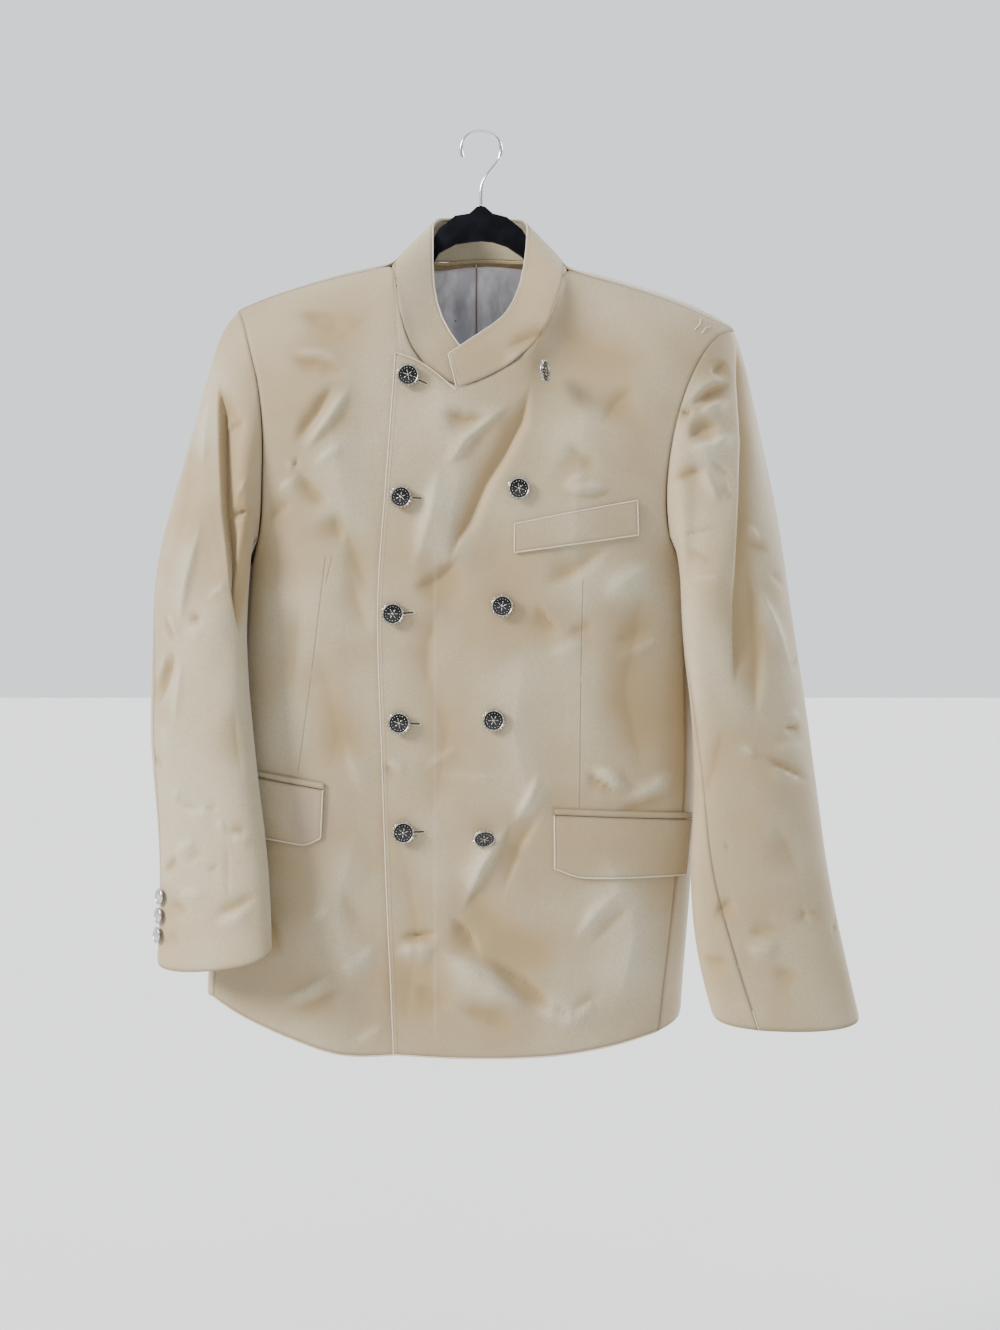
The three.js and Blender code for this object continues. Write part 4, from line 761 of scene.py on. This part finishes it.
RIGHT_SLEEVE_BACK = [
    ([(-235, -215), (-246, -300), (-248, -372)], 10, -0.3, -2.8),
    ([(-248, -366), (-262, -440), (-272, -500)], 8, -0.3, -2.0),
    ([(-205, -250), (-232, -268), (-258, -262)], 7, 0, -2.2),
    ([(-210, -282), (-246, -290)], 6, 0, 1.6),
    ([(-215, -385), (-250, -400), (-282, -392)], 5, 0.2, -1.8),
    ([(-225, -412), (-268, -418)], 5, 0, 1.3),
    ([(-232, -468), (-262, -490), (-296, -484)], 5, 0.2, -2.3),
    ([(-238, -500), (-284, -506)], 5, 0, 1.4),
    ([(-240, -535), (-272, -552), (-300, -544)], 4.5, 0, -1.6),
    ([(-250, -575), (-268, -590)], 4, 0, 1.1),
    ([(-225, -560), (-232, -640)], 11, 0, 1.8),
    ([(-268, -590), (-282, -670)], 11, 0, -1.5),
    ([(-205, -690), (-238, -706), (-275, -700)], 6, 0, -1.6),
    ([(-210, -716), (-250, -728)], 5, 0, 1.2),
    ([(-276, -420), (-290, -452)], 6, 0, 1.2),
    ([(-240, -320), (-262, -338)], 4, 0, -1.1),
]
for name in ("undersleeve_left", "topsleeve_left"):
    cloth_piece(name, [(LEFT_SLEEVE_CREASES, FRONT), (LEFT_SLEEVE_BACK, BACK)], gabardine)
for name in ("undersleeve_right", "topsleeve_right"):
    cloth_piece(name, [(RIGHT_SLEEVE_CREASES, FRONT), (RIGHT_SLEEVE_BACK, BACK)], gabardine)

# The stand collar: a band of gabardine over a stiffener, sewn round the neck and open at the front, where its
# ends cross.
COLLAR_CREASES = [
    ([(20, -212), (48, -200), (74, -188)], 11, 0.3, -1.7),
    ([(14, -232), (40, -218), (66, -204)], 8, 0, 1.3),
    ([(-66, -200), (-52, -228), (-34, -246)], 9, 0, -1.3),
    ([(-76, -150), (-70, -190), (-62, -222)], 6, 0, 0.9),
    ([(60, -205), (40, -232), (10, -246)], 5, 0, -0.9),
    ([(74, -150), (66, -190)], 5, 0, -0.8),
    ([(-82, -140), (-84, -165)], 4, 0, -0.7),
]
cloth_piece("collar", [(COLLAR_CREASES, FRONT)], gabardine)

# The neck piping: a narrow raised cord covered in tan cloth. It is sewn into the seam between the collar and
# the back, inside the neck.
PIPING_RADIUS = 2.3 * MM
NECK_PIECES = ("back_left", "back_right", "front_left", "front_right")
PIPING_COLOUR = (0.470, 0.350, 0.200)


def skin_rings(shell, rings):
    """Faces between rings of points, and one over each end."""
    sides = len(rings[0])
    for one, other in zip(rings, rings[1:]):
        for k in range(sides):
            shell.faces.new((one[k], one[(k + 1) % sides], other[(k + 1) % sides], other[k]))
    shell.faces.new(rings[0][::-1])
    shell.faces.new(rings[-1])


def finished_mesh(name, shell):
    bmesh.ops.recalc_face_normals(shell, faces=shell.faces)
    mesh = bpy.data.meshes.new(name)
    shell.to_mesh(mesh)
    shell.free()
    return mesh


def tube_mesh(name, path, radius, sides=8):
    """A closed round tube along a path of points."""
    points = np.array(path, float)
    along = np.gradient(points, axis=0)
    along /= np.linalg.norm(along, axis=1)[:, None]
    shell = bmesh.new()
    rings = []
    across = np.cross(along[0], (0.0, 0.0, 1.0))
    if np.linalg.norm(across) < 0.1:
        across = np.cross(along[0], (0.0, 1.0, 0.0))
    for point, forward in zip(points, along):
        across = across - forward * (across @ forward)
        across /= np.linalg.norm(across)
        upward = np.cross(forward, across)
        angles = np.arange(sides) * 2 * math.pi / sides
        circle = [point + radius * (math.cos(a) * across + math.sin(a) * upward) for a in angles]
        rings.append([shell.verts.new(corner) for corner in circle])
    skin_rings(shell, rings)
    return finished_mesh(name, shell)


def new_piece(name, mesh, material, angle=40):
    piece = only(linked(name, mesh))
    bpy.ops.object.shade_smooth_by_angle(angle=math.radians(angle))
    if not piece.data.materials:
        piece.data.materials.append(material)
    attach(piece, "root")
    return piece


def resampled(path, step):
    """Points at even steps along a path, ends kept."""
    points = np.array(path, float)
    runs = np.concatenate([[0], np.cumsum(np.linalg.norm(np.diff(points, axis=0), axis=1))])
    marks = np.linspace(0, runs[-1], max(2, round(runs[-1] / step) + 1))
    return np.stack([np.interp(marks, runs, points[:, k]) for k in range(3)], axis=1)


def neck_seam_path():
    """The middle of the seam between the collar's lower edge and the backs' upper edges."""
    band = grid_of("collar")
    path = []
    for edge_point in resampled(band[:, -1], 3 * MM):
        found = [surfaces[name].find_nearest(Vector(edge_point)) for name in NECK_PIECES]
        hit = min(found, key=lambda hit: hit[3])
        nearest, distance = hit[0], hit[3]
        if edge_point[1] > -34 * MM and distance < 9 * MM:
            outward = surfaces["collar"].find_nearest(Vector(edge_point))[1]
            middle = (np.array(nearest) + edge_point) / 2
            inward = np.array(outward) * (CLOTH_WALL / 2 + 0.7 * MM)
            path.append(middle - inward - (0, 0, 1.8 * MM))
    return path


def grained(name, colour, roughness, other, grain, pile, depth):
    """A cloth or thread finish: two tones in a fine grain, and a raised pile."""
    material, tree, shader, place = new_material(name, colour, roughness)
    set_by(tree, shader, "Base Color", mixed(tree, noise(tree, place, grain), colour, other))
    bumped(tree, shader, noise(tree, place, pile), depth)
    return material


piping_cloth = grained("neck_piping", PIPING_COLOUR, 0.7, CLOTH_DEEP, 300.0, 700.0, 0.3 * MM)
seam_path = resampled(neck_seam_path(), 2.5 * MM)
new_piece("neck_piping", tube_mesh("neck_piping", seam_path, PIPING_RADIUS), piping_cloth)

# The lining: silvery satin in two halves, joined down the centre back and sewn in under the neck. It is slack
# and shows soft folds.
SATIN_COLOUR = (0.780, 0.760, 0.830)
SATIN_WALL = 1.0 * MM
LINING_CREASES = [
    ([(-30, -128), (-24, -160), (-34, -200)], 8, 0, 1.6),
    ([(-12, -130), (-8, -175)], 6, 0, -1.2),
    ([(14, -128), (20, -165), (12, -205)], 7, 0, 1.5),
    ([(34, -135), (30, -180)], 6, 0, -1.3),
    ([(-50, -150), (-20, -162)], 5, 0, 1.2),
    ([(18, -185), (48, -172)], 5, 0, -1.0),
]
satin, tree, shader, place = new_material("lining_satin", SATIN_COLOUR, 0.30)
shader.inputs["Sheen Weight"].default_value = 0.15
seam = node(tree, "Attribute", attribute_name="seam").outputs["Fac"]
flow = noise(tree, node(tree, "Mapping", {"Vector": place, "Scale": (1.0, 1.0, 0.35)}).outputs[0], 75.0, 3.0)
# Painted shade and sheen: the satin is darker in the hollows and paler on the crests of the soft folds that
# the same noise bumps.
colour = mixed(tree, ramp(tree, flow, 0.35, 0.65), (0.62, 0.60, 0.67), (0.95, 0.93, 0.98))
tree.links.new(mixed(tree, maths(tree, "MULTIPLY", seam, 0.7), colour, (0.50, 0.33, 0.31)),
               shader.inputs["Base Color"])
bumped(tree, shader, maths(tree, "SUBTRACT", flow, maths(tree, "MULTIPLY", seam, 0.5)), 2.2 * MM, 0.8)
for side in ("left", "right"):
    cloth_piece("lining_" + side, [(LINING_CREASES, FRONT), (LINING_CREASES, BACK)], satin, wall=SATIN_WALL)

# The edge binding: the gabardine is turned in and pressed at the edges of the fronts, collar, welt and flaps.
# Each turned edge is a fine cord coloured paler than the cloth: a painted highlight where the fold catches
# light.
BINDING_RADIUS = 0.75 * MM
EDGE_HIGHLIGHT_COLOUR = (0.600, 0.500, 0.385)


def on_edge(node_name, line):
    """Points along a piece's edge, on its finished surface."""
    return [surfaces[node_name].find_nearest(Vector(point))[0] for point in resampled(line, 3 * MM)]


def sides_of(node_name):
    """A flap's two sides and lower edge as one line, and its upper edge left out."""
    grid = grid_of(node_name)
    return np.concatenate([grid[::-1, 0], grid[0, 1:], grid[1:, -1]])


def round_edge(node_name):
    """The whole edge of a four-sided piece as one closed line."""
    return np.concatenate([sides_of(node_name), grid_of(node_name)[-1, ::-1]])


# The cord's pale colour is a painted highlight.
edge_highlight_cloth = grained("edge_painted_highlight", EDGE_HIGHLIGHT_COLOUR, 0.6, CLOTH_PALE, 250.0, 800.0, 0.2 * MM)
front_grid = grid_of("front_left")
band = grid_of("collar")
LAPEL_STEPS = 3
bindings = {
    "front_left": np.concatenate([front_grid[0, ::-1], front_grid[1:, 0], front_grid[-1, 1:LAPEL_STEPS + 1]]),
    "front_right": grid_of("front_right")[0],
    "collar": np.concatenate([band[0, ::-1], band[1:-1, 0], band[-1]]),
    "breast_welt": round_edge("breast_welt"),
    "flap_left": sides_of("flap_left"),
    "flap_right": sides_of("flap_right"),
}
for node_name, line in bindings.items():
    bound = tube_mesh("binding_" + node_name, on_edge(node_name, line), BINDING_RADIUS, sides=6)
    new_piece("binding_" + node_name, bound, edge_highlight_cloth)

# The topstitching: matching thread a little in from the front edge, round the lapel's corner and along the
# collar. Each stitch is a short bead that sinks at both ends.
STITCH_PITCH = 3.4 * MM
STITCH_LENGTH = 2.5 * MM
THREAD_RADIUS = 0.30 * MM
THREAD_COLOUR = (0.400, 0.300, 0.180)
EDGE_INSET = 3.7 * MM


def thread_material(name, colour):
    darker = tuple(0.7 * c for c in colour)
    return grained(name, colour, 0.5, darker, 1500.0, 1500.0, 0.1 * MM)


def beads_mesh(name, beads, radius, sides=5):
    """Thread beads: each is (start, middle, end), three points on the cloth, with the middle raised."""
    shell = bmesh.new()
    for start, middle, end in beads:
        forward = (end - start).normalized()
        across = forward.cross(middle - (start + end) / 2).normalized()
        upward = across.cross(forward)
        rings = []
        for centre, share in ((start, 0.35), (middle, 1.0), (end, 0.35)):
            turn = [k * 2 * math.pi / sides for k in range(sides)]
            circle = [centre + radius * share * (math.cos(a) * across + math.sin(a) * upward) for a in turn]
            rings.append([shell.verts.new(corner) for corner in circle])
        skin_rings(shell, rings)
    return finished_mesh(name, shell)


def laid_bead(surface, start, end, raise_by):
    """A bead on the cloth between two points near it: its ends in the cloth and its middle above."""
    foot, out = surface.find_nearest(Vector(start))[:2]
    head, out_end = surface.find_nearest(Vector(end))[:2]
    out = (out + out_end).normalized()
    return foot, (foot + head) / 2 + out * raise_by, head


def stitched(node_name, path):
    """Beads along a path on a piece of cloth."""
    points = [Vector(point) for point in resampled(path, STITCH_PITCH)]
    share = STITCH_LENGTH / STITCH_PITCH
    return [laid_bead(surfaces[node_name], a, a + (b - a) * share, THREAD_RADIUS * 0.7)
            for a, b in zip(points, points[1:])]


def inset_line(edge, inner, inset):
    """The points of an edge moved in over the cloth by the inset, towards the next line of points."""
    toward = inner - edge
    return edge + toward * (inset / np.linalg.norm(toward, axis=1))[:, None]


rising = inset_line(front_grid[:-1, 0], front_grid[:-1, 1], EDGE_INSET)
lapel_top = inset_line(front_grid[-1, :LAPEL_STEPS + 1], front_grid[-2, :LAPEL_STEPS + 1], EDGE_INSET)
edge_beads = stitched("front_left", np.concatenate([rising, lapel_top[1:]]))
top_line = inset_line(band[1:-1, 0], band[1:-1, 1], EDGE_INSET)
end_lines = [inset_line(band[row], band[inner], EDGE_INSET) for row, inner in ((0, 1), (-1, -2))]
collar_beads = stitched("collar", top_line)
for line in end_lines:
    collar_beads += stitched("collar", line[:-1])
stitch_thread = thread_material("stitch_thread", THREAD_COLOUR)
stitches = beads_mesh("topstitching", edge_beads + collar_beads, THREAD_RADIUS)
new_piece("topstitching", stitches, stitch_thread)

# The buttonholes: five worked slots in the left front, each with a close row of thread bars round a cut
# painted as shadow.
# They run from under the buttons towards the wearer's left; the first one is pulled down by its button.
HOLE_HALF = 9.5 * MM
HOLE_START = 11.0 * MM            # from a button's middle to its hole's middle
BAR_PITCH = 0.85 * MM
BAR_INNER, BAR_OUTER = 0.35 * MM, 2.1 * MM
HOLE_TURNS = {1: -24, 2: -3, 3: 4, 4: -2, 5: 3}


def on_front(x, z):
    """The left front's outer surface at (x, z), found by looking from the front."""
    return surfaces["front_left"].ray_cast(Vector((x, -0.5, z)), Vector((0, 1, 0)))[0]


def hole_beads(centre_x, centre_z, turn):
    beads = []
    along = Vector((math.cos(turn), 0, math.sin(turn)))
    across = Vector((-math.sin(turn), 0, math.cos(turn)))
    middle = Vector((centre_x, 0, centre_z)) + along * HOLE_START
    reach = HOLE_HALF - BAR_OUTER
    steps = np.arange(-reach, reach, BAR_PITCH)
    rows = [(middle + along * s, across * side) for side in (-1, 1) for s in steps]
    for k in range(9):
        swing = math.radians(-80 + 20 * k)
        rows.append((middle + along * reach, along * math.cos(swing) + across * math.sin(swing)))
    for foot, away in rows:
        inner, outer = foot + away * BAR_INNER, foot + away * BAR_OUTER
        inner, outer = on_front(inner.x, inner.z), on_front(outer.x, outer.z)
        if inner and outer:
            beads.append(laid_bead(surfaces["front_left"], inner, outer, 0.35 * MM))
    return beads, [on_front(p.x, p.z) for p in (middle - along * reach, middle, middle + along * reach)]


def node_centre(name):
    low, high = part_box(name)
    return (np.array(low) + np.array(high)) / 2


hole_thread = thread_material("buttonhole_thread", (0.560, 0.460, 0.330))
slot_shadow = new_material("slot_shadow", (0.035, 0.026, 0.018), 0.9)[0]
bars, slots = [], []
for number, degrees in HOLE_TURNS.items():
    centre = node_centre("button_front_%d" % number)
    beads, slot_path = hole_beads(centre[0], centre[2], math.radians(degrees))
    bars += beads
    slots.append([point + Vector((0, -0.15 * MM, 0)) for point in slot_path])
new_piece("buttonholes", beads_mesh("buttonholes", bars, 0.55 * MM), hole_thread)
# Each cut is a near-black cord: painted shadow inside the slit.
for number, slot_path in enumerate(slots, 1):
    cut = tube_mesh("buttonhole_cut", resampled(slot_path, 1.5 * MM), 0.5 * MM, sides=6)
    new_piece("buttonhole_cut_%d" % number, cut, slot_shadow)

# The front buttons: cast metal with a notched rim, black enamel sunk inside it and a plain rosette on top,
# each sewn on through a shank. They were modelled once and sit as the threads let them.
BUTTON_RADIUS = 10.5 * MM
METAL_COLOUR = (0.470, 0.445, 0.410)


def button_metal_material():
    material, tree, shader, place = new_material("button_metal", METAL_COLOUR, 0.3, 1.0)
    tarnish = ramp(tree, noise(tree, place, 500.0, 4.0), 0.4, 0.7)
    set_by(tree, shader, "Base Color", mixed(tree, tarnish, METAL_COLOUR, (0.25, 0.22, 0.19)))
    set_by(tree, shader, "Roughness", maths(tree, "MULTIPLY_ADD", tarnish, 0.25, 0.24))
    bumped(tree, shader, noise(tree, place, 1400.0), 0.08 * MM, 0.6)
    return material


def enamel_material():
    material, tree, shader, place = new_material("black_enamel", (0.006, 0.006, 0.007), 0.2)
    shader.inputs["Coat Weight"].default_value = 0.15
    shader.inputs["Specular IOR Level"].default_value = 0.3
    haze = noise(tree, place, 600.0)
    set_by(tree, shader, "Roughness", maths(tree, "MULTIPLY_ADD", haze, 0.25, 0.12))
    bumped(tree, shader, haze, 0.05 * MM, 0.5)
    return material


def edit_points(obj, chosen, operator, **values):
    """Runs an edit-mode operator on the points that chosen picks by their place."""
    only(obj)
    bpy.ops.object.mode_set(mode="EDIT")
    bpy.ops.mesh.select_mode(type="VERT")
    bpy.ops.mesh.select_all(action="DESELECT")
    bpy.ops.object.mode_set(mode="OBJECT")
    for point in obj.data.vertices:
        point.select = chosen(point.co)
    bpy.ops.object.mode_set(mode="EDIT")
    operator(**values)
    bpy.ops.object.mode_set(mode="OBJECT")


def placed(material):
    """The primitive just added, with its place and size put into its mesh, in one material."""
    made = bpy.context.object
    only(made)
    bpy.ops.object.transform_apply(location=True, rotation=True, scale=True)
    made.data.materials.append(material)
    return made


def joined(name, pieces):
    deselect_all()
    for piece in pieces:
        piece.select_set(True)
    bpy.context.view_layer.objects.active = pieces[0]
    bpy.ops.object.join()
    pieces[0].name = name
    bpy.ops.object.shade_smooth_by_angle(angle=math.radians(45))
    return pieces[0]


def in_notch(point):
    tooth = math.atan2(point.y, point.x) / (2 * math.pi) * 18 % 1
    return math.hypot(point.x, point.y) > 0.88 * BUTTON_RADIUS and tooth < 0.40


def ring(radius, thickness, z, segments, material):
    bpy.ops.mesh.primitive_torus_add(major_segments=segments, minor_segments=10, major_radius=radius,
                                     minor_radius=thickness, location=(0, 0, z))
    return placed(material)


def disc(radius, depth, z, vertices, bevel, material):
    bpy.ops.mesh.primitive_cylinder_add(vertices=vertices, radius=radius, depth=depth, location=(0, 0, z))
    return apply_modifier(placed(material), "BEVEL", width=bevel, segments=2)


def drop(radius, place, segments, rings, stretch, material, turn=0):
    """A ball flattened or drawn out by its stretch, at its place on the button."""
    bpy.ops.mesh.primitive_uv_sphere_add(segments=segments, ring_count=rings, radius=radius,
                                         rotation=(0, 0, turn), location=place)
    bpy.context.object.scale = stretch
    return placed(material)


def around(share, turn, height):
    """A place on the front button's face, as shares of its radius."""
    r = BUTTON_RADIUS
    return share * r * math.cos(turn), share * r * math.sin(turn), height * r


def front_button_pattern(metal, enamel):
    """The front button, standing on z = 0 with its face up."""
    r = BUTTON_RADIUS
    rim = ring(0.895 * r, 0.13 * r, 0.41 * r, 104, metal)
    edit_points(rim, in_notch, bpy.ops.transform.resize, value=(0.905, 0.905, 0.9), center_override=(0, 0, 0))
    plate = disc(0.84 * r, 0.12 * r, 0.34 * r, 48, 0.03 * r, metal)
    shank = disc(0.22 * r, 0.34 * r, 0.15 * r, 20, 0.04 * r, metal)
    pieces = [rim, plate, shank, drop(0.79 * r, (0, 0, 0.40 * r), 48, 14, (1, 1, 0.13), enamel)]
    for k in range(6):
        turn = k * math.pi / 3
        pieces.append(drop(0.15 * r, around(0.30, turn, 0.49), 12, 8, (1, 0.30, 0.30), metal, turn))
    for k in range(16):
        pieces.append(drop(0.05 * r, around(0.62, (k + 0.5) * math.pi / 8, 0.475), 8, 6, (1, 1, 1), metal))
    pieces.append(drop(0.11 * r, (0, 0, 0.51 * r), 20, 10, (1, 1, 0.5), metal))
    return joined("button_pattern", pieces)


def seat_of(name):
    """The turn and place that carry a button's pattern onto its CAD solid."""
    points = read_points(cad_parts[name].data, "co")
    middle = (points.min(axis=0) + points.max(axis=0)) / 2
    axis = np.linalg.eigh(np.cov((points - points.mean(axis=0)).T))[1][:, 0]
    heights = points @ axis
    wide = np.linalg.norm(points - middle - np.outer((points - middle) @ axis, axis), axis=1)
    rim = heights[wide > 0.9 * wide.max()].mean()
    if rim < (heights.min() + heights.max()) / 2:
        axis, heights = -axis, -heights
    on_axis = points[wide > 0.9 * wide.max()].mean(axis=0)
    foot = on_axis + axis * (heights.min() - on_axis @ axis)
    turn = Vector(axis).to_track_quat("Z", "Y").to_matrix().to_4x4()
    return Matrix.Translation(Vector(foot)) @ turn


def sew_on(pattern, name, roll):
    """A copy of a button's pattern, with its own mesh, at its solid's place."""
    mesh = pattern.data.copy()
    mesh.transform(seat_of(name) @ Matrix.Rotation(roll, 4, "Z"))
    piece = linked("metal_" + name, mesh)
    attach(piece, "root")
    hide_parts(name)


button_metal = button_metal_material()
pattern = front_button_pattern(button_metal, enamel_material())
for number in range(1, 11):
    sew_on(pattern, "button_front_%d" % number, 0.7 * number)
bpy.data.objects.remove(pattern)

# The cuff buttons: three small domes of bright metal with a turned rim, above each sleeve's hem. Each is
# sewn on through a shank.
CUFF_RADIUS = 7.5 * MM
CUFF_METAL = (0.700, 0.690, 0.680)
r = CUFF_RADIUS
cuff_metal, tree, shader, place = new_material("cuff_metal", CUFF_METAL, 0.22, 1.0)
dulling = ramp(tree, noise(tree, place, 400.0, 4.0), 0.35, 0.7)
set_by(tree, shader, "Base Color", mixed(tree, dulling, CUFF_METAL, (0.40, 0.38, 0.36)))
set_by(tree, shader, "Roughness", maths(tree, "MULTIPLY_ADD", dulling, 0.2, 0.16))
cuff_pattern = joined("cuff_pattern", [
    ring(0.88 * r, 0.12 * r, 0.40 * r, 40, cuff_metal),
    drop(0.80 * r, (0, 0, 0.38 * r), 32, 12, (1, 1, 0.24), cuff_metal),
    disc(0.22 * r, 0.34 * r, 0.16 * r, 16, 0.04 * r, cuff_metal),
])
for side in ("left", "right"):
    for number in range(1, 4):
        sew_on(cuff_pattern, "button_cuff_%s_%d" % (side, number), 0.9 * number)
bpy.data.objects.remove(cuff_pattern)

# Two loose thread ends: white cotton tacking thread, left where the left sleeve is sewn to the shoulder. They
# lie a little off the cloth.
LOOSE_THREADS = [[(196, -190), (201, -184), (203, -178), (209, -175)],
                 [(203, -193), (207, -187), (212, -186)]]
white_thread = thread_material("tacking_thread", (0.820, 0.800, 0.760))
for number, points in enumerate(LOOSE_THREADS, 1):
    path = []
    for k, (x, z) in enumerate(points):
        hit = on_front(x * MM, z * MM)
        if hit:
            path.append(hit + Vector((0, -(0.4 + 0.7 * (k % 2)) * MM, 0)))
    if len(path) > 1:
        loose = tube_mesh("loose_thread", resampled(path, 1.5 * MM), 0.32 * MM, sides=6)
        new_piece("loose_thread_%d" % number, loose, white_thread)

# The hanger: a slim moulded bar with sloping arms, flocked all over in black velvet so that cloth grips it.
# The jacket's shoulders rest on its arms.
velvet, tree, shader, place = new_material("black_velvet", (0.0045, 0.0045, 0.006), 0.95)
shader.inputs["Sheen Weight"].default_value = 0.08
shader.inputs["Sheen Roughness"].default_value = 0.35
shader.inputs["Specular IOR Level"].default_value = 0.12
pile = noise(tree, place, 900.0, 4.0)
brushed = ramp(tree, noise(tree, place, 40.0), 0.35, 0.7)
set_by(tree, shader, "Base Color", mixed(tree, brushed, (0.0015, 0.0015, 0.003), (0.006, 0.006, 0.010)))
bumped(tree, shader, pile, 0.5 * MM, 0.7)


def rounded_copy(node_name, name, material, bevel=None, levels=0):
    """A CAD solid's mesh with its loose triangles merged, its edges rounded, and its finish on."""
    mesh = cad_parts[node_name].data.copy()
    mesh.materials.clear()
    piece = linked(name, mesh)
    edit_points(piece, lambda point: True, bpy.ops.mesh.remove_doubles, threshold=0.01 * MM)
    if bevel:
        apply_modifier(piece, "BEVEL", width=bevel, segments=3, limit_method="ANGLE",
                       angle_limit=math.radians(35))
    if levels:
        edit_points(piece, lambda point: True, bpy.ops.mesh.tris_convert_to_quads)
        apply_modifier(piece, "SUBSURF", levels=levels, render_levels=levels)
    bpy.ops.object.shade_smooth_by_angle(angle=math.radians(50))
    piece.data.materials.append(material)
    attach(piece, "root")
    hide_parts(node_name)
    return piece


rounded_copy("hanger", "velvet_hanger", velvet, bevel=1.0 * MM)

# The hook: bright steel wire, bent round at the top to hang on a rail. Its lower end is set in the hanger's
# nub, where it can swivel.
wire, tree, shader, place = new_material("hook_wire", (0.750, 0.750, 0.770), 0.16, 1.0)
set_by(tree, shader, "Roughness", maths(tree, "MULTIPLY_ADD", noise(tree, place, 300.0), 0.14, 0.10))
bumped(tree, shader, noise(tree, place, 1200.0), 0.04 * MM, 0.5)
rounded_copy("hook", "wire_hook", wire, levels=1)

# The studio: a pale floor and soft daylight, brightest from the upper left. The jacket hangs above the floor,
# and the camera stands level with its middle.
FLOOR_Z = -1.25
floor_paint, tree, shader, place = new_material("pale_floor", (0.72, 0.72, 0.72), 0.9)
tree.links.new(mixed(tree, noise(tree, place, 3.0), (0.70, 0.70, 0.70), (0.73, 0.73, 0.73)),
               shader.inputs["Base Color"])
bpy.ops.mesh.primitive_plane_add(size=90, location=(0, 0, FLOOR_Z))
floor = bpy.context.object
floor.name = "floor"
floor.data.materials.append(floor_paint)
world = bpy.data.worlds.new("studio")
bpy.context.scene.world = world
world.use_nodes = True
world.node_tree.nodes["Background"].inputs["Color"].default_value = (0.93, 0.97, 1.0, 1)
sky = world.node_tree
looking = node(sky, "SeparateXYZ", {0: node(sky, "TexCoord").outputs["Generated"]})
daylight = node(sky, "MapRange", {"Value": looking.outputs["Y"], "From Min": -0.8, "From Max": 0.8,
                                  "To Min": 0.50, "To Max": 1.30})
sky.links.new(daylight.outputs["Result"], sky.nodes["Background"].inputs["Strength"])


def soft_sun(name, place, strength, colour, softness=20):
    """Even daylight from one direction, with soft shadows."""
    data = bpy.data.lights.new(name, "SUN")
    data.energy = strength
    data.color = colour
    data.angle = math.radians(softness)
    light = linked(name, data)
    light.location = place
    light.rotation_euler = (-Vector(place)).to_track_quat("-Z", "Y").to_euler()


soft_sun("key", (-1.8, -0.80, 1.05), 6.4, (1.0, 0.97, 0.92))
soft_sun("sky", (0.2, -0.6, 1.7), 1.3, (0.74, 0.88, 1.0), 60)
soft_sun("back", (1.9, 1.0, 1.0), 3.0, (1.0, 0.97, 0.93))

camera_data = bpy.data.cameras.new("camera")
camera_data.lens = 55.1
camera_data.sensor_width = 36
camera = linked("camera", camera_data)
camera.location = (17.7 * MM, -1900 * MM, -497.3 * MM)
camera.rotation_euler = (math.radians(90), 0, 0)
bpy.context.scene.camera = camera
